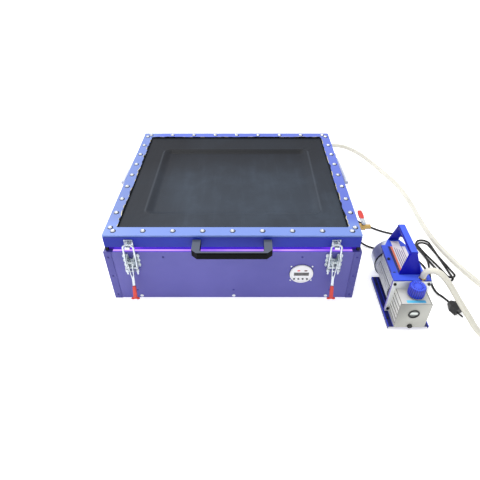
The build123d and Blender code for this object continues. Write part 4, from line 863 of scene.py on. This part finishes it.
verts, faces = blanketSurface()
blanket = outwards(meshPiece("rubberBlanket", verts, faces, finish["rubber"], "lid", 60))
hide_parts("rubber_blanket")


def lipStrip(start, end, outward, reach, low, high):
    # a strip along one edge of the opening: it hangs down the clamp's edge and laps out over it by reach
    start, end, outward = (np.asarray(v, float) for v in (start, end, outward))
    t = np.linspace(0, 1, len(reach))[:, None]
    inner = start + (end - start) * t - outward * 0.7
    outer = start + (end - start) * t + outward * reach[:, None]
    edge = start + (end - start) * t + outward * 0.0
    rise = np.array([0, 0, 1.0])
    ring = np.stack([inner + rise * low, inner + rise * high, outer + rise * high, outer + rise * 228.02,
                     edge + rise * 228.02, edge + rise * low], 1)
    return ringSurface(ring)


def ragged(count, base, rag, seed):
    # a free edge that wanders: base plus smoothed noise, never under 0.15
    draw = np.random.default_rng(seed).normal(0, 1, count)
    soft = np.convolve(draw, np.ones(5) / 5, "same") * 2 + np.convolve(draw, [0.25, 0.5, 0.25], "same") * 0.6
    return np.clip(base + rag * soft, 0.15, base + 3.2)


sides = [((-308, -268, 0), (-308, 271, 0), (-1, 0, 0)), ((308, 271, 0), (308, -268, 0), (1, 0, 0)),
         ((-306, 273, 0), (306, 273, 0), (0, 1, 0))]
lips = [ragged(150, 1.3, 1.2, seed) for seed in (3, 5, 9)]
beads = [np.maximum(lip * 0.4, lip + np.clip(ragged(150, 0.7, 1.5, seed), -1, 2.2) - 0.4)
         for lip, seed in zip(lips, (21, 22, 23))]
verts, faces = joined([lipStrip(a, b, w, lip, 224.05, 228.75) for (a, b, w), lip in zip(sides, lips)])
outwards(meshPiece("sealLip", verts, faces, finish["lip"], "lid", 50))
verts, faces = joined([lipStrip(a, b, w, bead, 224.6, 228.4) for (a, b, w), bead in zip(sides, beads)])
outwards(meshPiece("sealantBead", verts, faces, finish["bead"], "lid", 50))
print("blanket")

stripSpots = [(side * 336, z) for side in (-1, 1) for z in (14, 87, 156)]
screw = fastener(3.4, 1.6, 1.7, -8)
backOnes = joined([(placed(screw[0], (x, 312, z), (0, 1, 0)), screw[1]) for x, z in stripSpots])
frontSpots = [(x, -312, z) for x, z in stripSpots]
frontSpots += [(x, -310.5, 156) for x in (-188, 0, 188)] + [(x, -310.5, 31) for x in (-277, 0, 277)]
frontOnes = joined([(placed(screw[0], spot, (0, -1, 0)), screw[1]) for spot in frontSpots])
verts, faces = joined([frontOnes, backOnes])
panelScrews = outwards(meshPiece("panelScrews", verts, faces, finish["darkScrew"], "base", 35))
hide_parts("panel_screws")
panBolt = fastener(5.0, 1.9, 1.7, -8)
dialScrew = fastener(2.6, 1.6, 1.7, -8)
bits = [(placed(panBolt[0], (x, -310.5, 7), (0, -1, 0)), panBolt[1]) for x in (-268, 0, 268)]
bits += [(placed(dialScrew[0], (190 + 29 * i, -310.5, 96 + 26 * j), (0, -1, 0)), dialScrew[1])
         for i in (-1, 1) for j in (-1, 1)]
verts, faces = joined(bits)
zincScrews = outwards(meshPiece("zincScrews", verts, faces, finish["zincWhite"], "base", 35))
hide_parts("zinc_screws")
print("screws")


def frontRing(centre, radii, y0, y1, count=64):
    # a flat ring standing out of the front face between two radii
    (cx, cz), (r0, r1) = centre, radii
    profile = np.array([(r1, y0), (r1, y1 + 0.4), (r1 - 0.4, y1), (r0 + 0.4, y1), (r0, y1 + 0.4), (r0, y0)])
    a = np.arange(count) / count * 2 * math.pi
    points = np.stack([np.stack([cx + r * np.cos(a), np.full(count, y), cz + r * np.sin(a)], -1)
                       for r, y in profile], 1)
    return ringSurface(points, closedPath=True)


verts, faces = frontRing((190, 96), (28.8, 32.4), -313.4, -314.7)
outwards(meshPiece("timerBezel", verts, faces, finish["timer"], "base", 35))


def sevenSegments(x, z, digit, width=5.2, height=8.6, bar=1.15):
    # one digit of thin bars: top, upper sides, middle, lower sides, bottom
    lit = {"0": "abcdef", "1": "bc", "3": "abcdg", "5": "acdfg"}[digit]
    w, h = width / 2, height / 2
    places = {"a": (0, h, w - bar, bar / 2), "g": (0, 0, w - bar, bar / 2), "d": (0, -h, w - bar, bar / 2),
              "f": (-w, h / 2, bar / 2, h / 2 - bar / 2), "b": (w, h / 2, bar / 2, h / 2 - bar / 2),
              "e": (-w, -h / 2, bar / 2, h / 2 - bar / 2), "c": (w, -h / 2, bar / 2, h / 2 - bar / 2)}
    parts = []
    for key in lit:
        dx, dz, hw, hh = places[key]
        outline = np.array([(-hw, -hh), (hw, -hh), (hw, hh), (-hw, hh)]) + [x + dx, z + dz]
        rings = np.stack([np.stack([outline[:, 0], np.full(4, y), outline[:, 1]], -1) for y in (-313.5, -313.65)])
        parts.append(ringSurface(rings))
    return parts


a = np.arange(28) / 28 * 2 * math.pi
lens = np.stack([np.stack([201.5 + 4.4 * k * np.cos(a), np.full(28, y), 108.7 + 2.4 * k * np.sin(a)], -1)
                 for y, k in ((-313.4, 1), (-313.7, 1), (-313.9, 0.8))])
verts, faces = ringSurface(lens)
outwards(meshPiece("lampOff", verts, faces, finish["lampDark"], "base", 40))
# a dark ring round the timer's dial: a painted shadow
verts, faces = frontRing((190, 96), (32.5, 33.6), -310.45, -311.1)
outwards(meshPiece("dialShadowRing", verts, faces, finish["shadowRing"], "base", 35))
digitParts = []
for place, digit in ((176.5, "0"), (184.0, "1"), (195.5, "3"), (203.0, "0")):
    digitParts += sevenSegments(place, 96, digit)
verts, faces = joined(digitParts)
outwards(meshPiece("timerDigits", verts, faces, finish["digits"], "base", 30))
print("timer")


def sleeve(name, start, way, radii, lengths, material, body, count=28):
    # a turned sleeve from start along way
    points = turned(radii, lengths, count)
    verts, faces = ringSurface(points)
    return outwards(meshPiece(name, placed(verts, start, way), faces, finish[material], body, 40))


def slotSleeve(width, thick, y0, y1, x, z, rows=16):
    # a dipped sleeve over a flat lever: oval section that swells and closes at both ends
    t = np.linspace(0, 1, rows)
    swell = np.clip(np.sin(math.pi * np.clip(t * 1.02 - 0.01, 0, 1)) ** 0.22, 0.05, 1)
    a = np.arange(20) / 20 * 2 * math.pi
    oval = np.stack([np.sign(np.cos(a)) * np.abs(np.cos(a)) ** 0.6, np.sign(np.sin(a)) * np.abs(np.sin(a)) ** 0.6], 1)
    y = y0 + (y1 - y0) * t
    points = np.stack([x + oval[None, :, 0] * width / 2 * swell[:, None],
                       np.broadcast_to(y[:, None], (rows, 20)),
                       z + oval[None, :, 1] * thick / 2 * swell[:, None]], -1)
    return ringSurface(points)


verts, faces = slotSleeve(14.5, 6.5, -222, -179, 358, 218.3)
outwards(meshPiece("valveSleeve", verts, faces, finish["red"], "release_lever", 50))

# the latch brackets get scalloped wings, with three screws a side
bracketParts = []
wingScrews = []
for side in (-1, 1):
    cx = side * 274
    levels = np.linspace(124, 169, 31)
    half = 19.6 + 3.4 * np.abs(np.cos(math.pi * (levels - 131) / 15.5)) ** 0.8
    notch = np.array([(cx + 7.5, 169), (cx + 6, 152), (cx - 6, 152), (cx - 7.5, 169)])
    outline = np.concatenate([np.stack([cx + half, levels], 1), notch, np.stack([cx - half, levels], 1)[::-1]])
    rings = np.stack([np.stack([outline[:, 0], np.full(len(outline), y), outline[:, 1]], -1)
                      for y in (-310.5, -312.1, -312.5)])
    rings[2, :, 0] = cx + (rings[2, :, 0] - cx) * 0.98
    bracketParts.append(ringSurface(rings))
    for cheek in (-1, 1):
        near, far = cx + cheek * 8, cx + cheek * 10
        a = np.linspace(math.radians(70), math.radians(-70), 12)
        nose = np.stack([-326 - 8 * np.cos(a), 150 + 8 * np.sin(a)], 1)
        shape = np.concatenate([[(-310.5, 167)], nose, [(-310.5, 136)]])
        bracketParts.append(ringSurface(np.stack([np.stack([np.full(len(shape), x), shape[:, 0], shape[:, 1]], -1)
                                                  for x in (near, far)])))
    pin = turned([2.4, 3.4, 3.4, 3.0, 3.0, 3.4, 3.4, 2.4], [-11.8, -11.3, -10.1, -10, 10, 10.1, 11.3, 11.8], 20)
    points, quads = ringSurface(pin)
    bracketParts.append((placed(points, (cx, -326, 150), (1, 0, 0)), quads))
    wingScrews += [(cx + i * 16.5, -312.4, z) for i in (-1, 1) for z in (131, 146.5, 162)]
verts, faces = joined(bracketParts)
brackets = outwards(meshPiece("latchBrackets", verts, faces, finish["zincDark"], "base", 35))
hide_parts("latch_brackets")
fasteners("bracketScrews", wingScrews, (0, -1, 0), fastener(3.0, 1.5, 1.7, -6), "zincWhite", "base")
print("latch brackets")


leverLean = math.radians(16.1)
leverUp = np.array([0, math.sin(leverLean), math.cos(leverLean)])
leverOut = np.array([0, -math.cos(leverLean), math.sin(leverLean)])


def onLever(cx, across, up, out):
    # a point given across, up and out of the lever's own plane, from the trunnion
    across, up, out = (np.asarray(v, float)[..., None] for v in (across, up, out))
    return np.array([cx, -322.0, 130.0]) + across * np.array([1.0, 0, 0]) + up * leverUp + out * leverOut


def latchLever(cx):
    # two side plates that draw together below the trunnion, a small web, and one narrow strip down to the grip
    turn = np.arange(56) / 56 * 2 * math.pi
    way = np.stack([np.cos(turn), np.sin(turn)], 1)
    circles = ((18.1, 9.4, 7.0), (0.0, 0.0, 6.5), (-34.0, 0.0, 1.5))
    reach = np.stack([way @ np.array([u, v]) + r for u, v, r in circles], 1)
    pick = np.argmax(reach, 1)
    centre = np.array(circles)[pick]
    hull = centre[:, :2] + centre[:, 2:] * way
    parts = []
    for plate in (-1, 1):
        middle = 6 - 3.6 * np.clip(-hull[:, 0] / 34, 0, 1)
        rings = [onLever(cx, plate * (middle + step), hull[:, 0], hull[:, 1]) for step in (-1, 1)]
        parts.append(ringSurface(np.stack(rings)))
    for low, high, half in ((-13.5, -10, 5.4), (-95, -27, 3.4)):
        corners = np.array([(-half, -1.25), (half, -1.25), (half, 1.25), (-half, 1.25)])
        parts.append(ringSurface(np.stack([onLever(cx, corners[:, 0], np.full(4, v), corners[:, 1])
                                           for v in (low, high)])))
    return joined(parts)


def latchGrip(cx, rows=22):
    # a soft sleeve down the strip, and two flat round lobes side by side at its end
    t = np.linspace(0, 1, rows)
    down = 57.5 + 40 * t
    half = (4.9 + 0.7 * t) * np.where(t < 0.05, 0.8, 1) * np.where(t > 0.97, 0.7, 1)
    thick = 3.9 - 0.4 * t
    a = np.arange(28) / 28 * 2 * math.pi
    boxX = np.sign(np.cos(a)) * np.abs(np.cos(a)) ** 0.55
    boxZ = np.sign(np.sin(a)) * np.abs(np.sin(a)) ** 0.55
    parts = [ringSurface(onLever(cx, boxX[None] * half[:, None], np.repeat(-down[:, None], 28, 1),
                                 boxZ[None] * thick[:, None]))]
    for lobe in (-1, 1):
        b = np.linspace(0.04, math.pi - 0.04, 13)
        across = lobe * 6.9 + 5.6 * np.cos(b)[:, None] + 0 * a[None]
        up = -97.0 + 3.6 * np.sin(b)[:, None] * np.cos(a)[None]
        out = 3.4 * np.sin(b)[:, None] * np.sin(a)[None]
        parts.append(ringSurface(onLever(cx, across, up, out)))
    return joined(parts)


for word, cx in (("left", -274), ("right", 274)):
    verts, faces = latchGrip(cx)
    grip = outwards(meshPiece(word + "Grip", verts, faces, finish["red"], word + "_latch", 60))
    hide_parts(word + "_latch_grip")
    verts, faces = latchLever(cx)
    lever = outwards(meshPiece(word + "Lever", verts, faces, finish["zinc"], word + "_latch", 35))
    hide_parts(word + "_latch_lever")
print("latch grips")


def oilCap():
    # a ribbed cap with a dished top and a ring of shallow dimples; it covers the filler neck
    count = 144
    radii = [14.2, 20.6, 20.8, 20.8, 20.2, 18.6, 16.4, 14.6, 12.6, 10.4, 8.2, 4.0, 1.0]
    heights = [105.0, 105.0, 106.0, 130.0, 132.6, 134.6, 135.0, 134.4, 133.9, 133.9, 134.2, 134.4, 134.4]
    points = turned(radii, heights, count)
    a = np.arange(count) / count * 2 * math.pi
    swell = 1 + 0.045 * np.sign(np.cos(24 * a)) * np.abs(np.cos(24 * a)) ** 0.5
    points[1:5, :, :2] *= swell[None, :, None]
    points[7:10, :, 2] -= 1.4 * (np.cos(14 * a) > 0.35)[None, :]
    inner = turned([14.2, 14.2, 1.0], [128.2, 105.0, 105.0], count)
    rings = np.concatenate([turned([1.0, 14.2], [128.2, 128.2], count), points])
    return ringSurface(rings[::-1])


verts, faces = oilCap()
cap = outwards(meshPiece("oilCap", verts + np.array([480, -396.5, 0]), faces, finish["capBlue"], "filler_cap", 45))
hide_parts("oil_cap")
for name, x0, x1, material in (("labelNavy", 449, 456, "labelDark"), ("labelOrange", 456, 461.5, "labelOrange"),
                               ("labelWhite", 461.5, 488, "labelWhite"), ("labelEdge", 488, 489.6, "labelDark"),
                               ("labelRim", 489.6, 499, "labelWhite")):
    band(name, (x0, x1), (-338, -222), (119.9, 120.35), material, "base")
band("labelTail", (463, 486), (-222, -198), (119.9, 120.35), "labelWhite", "base")
for i, x in enumerate((465.5, 471, 477, 482.5)):
    band("labelRule" + str(i + 1), (x, x + 1.7), (-332, -228 - 4 * i), (120.3, 120.42), "labelGrey", "base")
for name, x0, x1 in (("baseLipLeft", 418.7, 421.4), ("baseLipRight", 526.6, 529.3), ("baseFold", 432, 434)):
    band(name, (x0, x1), (-428.6, -237), (11.9, 12.3), "lipBlue", "base")
# painted light on the mid plate's left edge
band("plateEdgeLight", (422.7, 423.1), (-373.6, -366.4), (12.4, 125.6), "plateEdgeLight", "base")
band("chamberLabel", (451, 500), (-425.5, -416.5), (100.9, 101.25), "labelCyan", "base")
verts, faces = frontRing((474, 66), (10.8, 14.9), -431.5, -434.2)
outwards(meshPiece("sightRing", verts, faces, finish["blackCord"], "base", 35))


def coverRim():
    # a dark band round the joint between the motor's end shield and the fan cover
    profile = np.array([(53.6, -235.8), (54.7, -235.4), (54.7, -229.4), (53.6, -229.0)])
    count = 72
    a = np.arange(count) / count * 2 * math.pi
    points = np.stack([np.stack([474 + r * np.cos(a), np.full(count, y), 63 + r * np.sin(a)], -1)
                       for r, y in profile], 1)
    return ringSurface(points, closedPath=True)


verts, faces = coverRim()
outwards(meshPiece("coverRim", verts, faces, finish["blackCord"], "base", 35))
for name, start in (("mainsRelief", (363.8, 84, 30)), ("pumpRelief", (363.8, -60, 40)),
                    ("motorRelief", (539.8, -262, 45))):
    radii = [4.0, 5.6, 5.6, 4.6, 4.6, 5.4, 5.4, 4.4, 4.4, 5.0, 5.0, 3.6]
    sleeve(name, start, (1, 0, 0), radii, [0, 0.2, 2.4, 2.6, 3.6, 3.8, 5.8, 6.0, 7.0, 7.2, 9.0, 9.4], "blackCord",
           "base")
print("pump dressed")
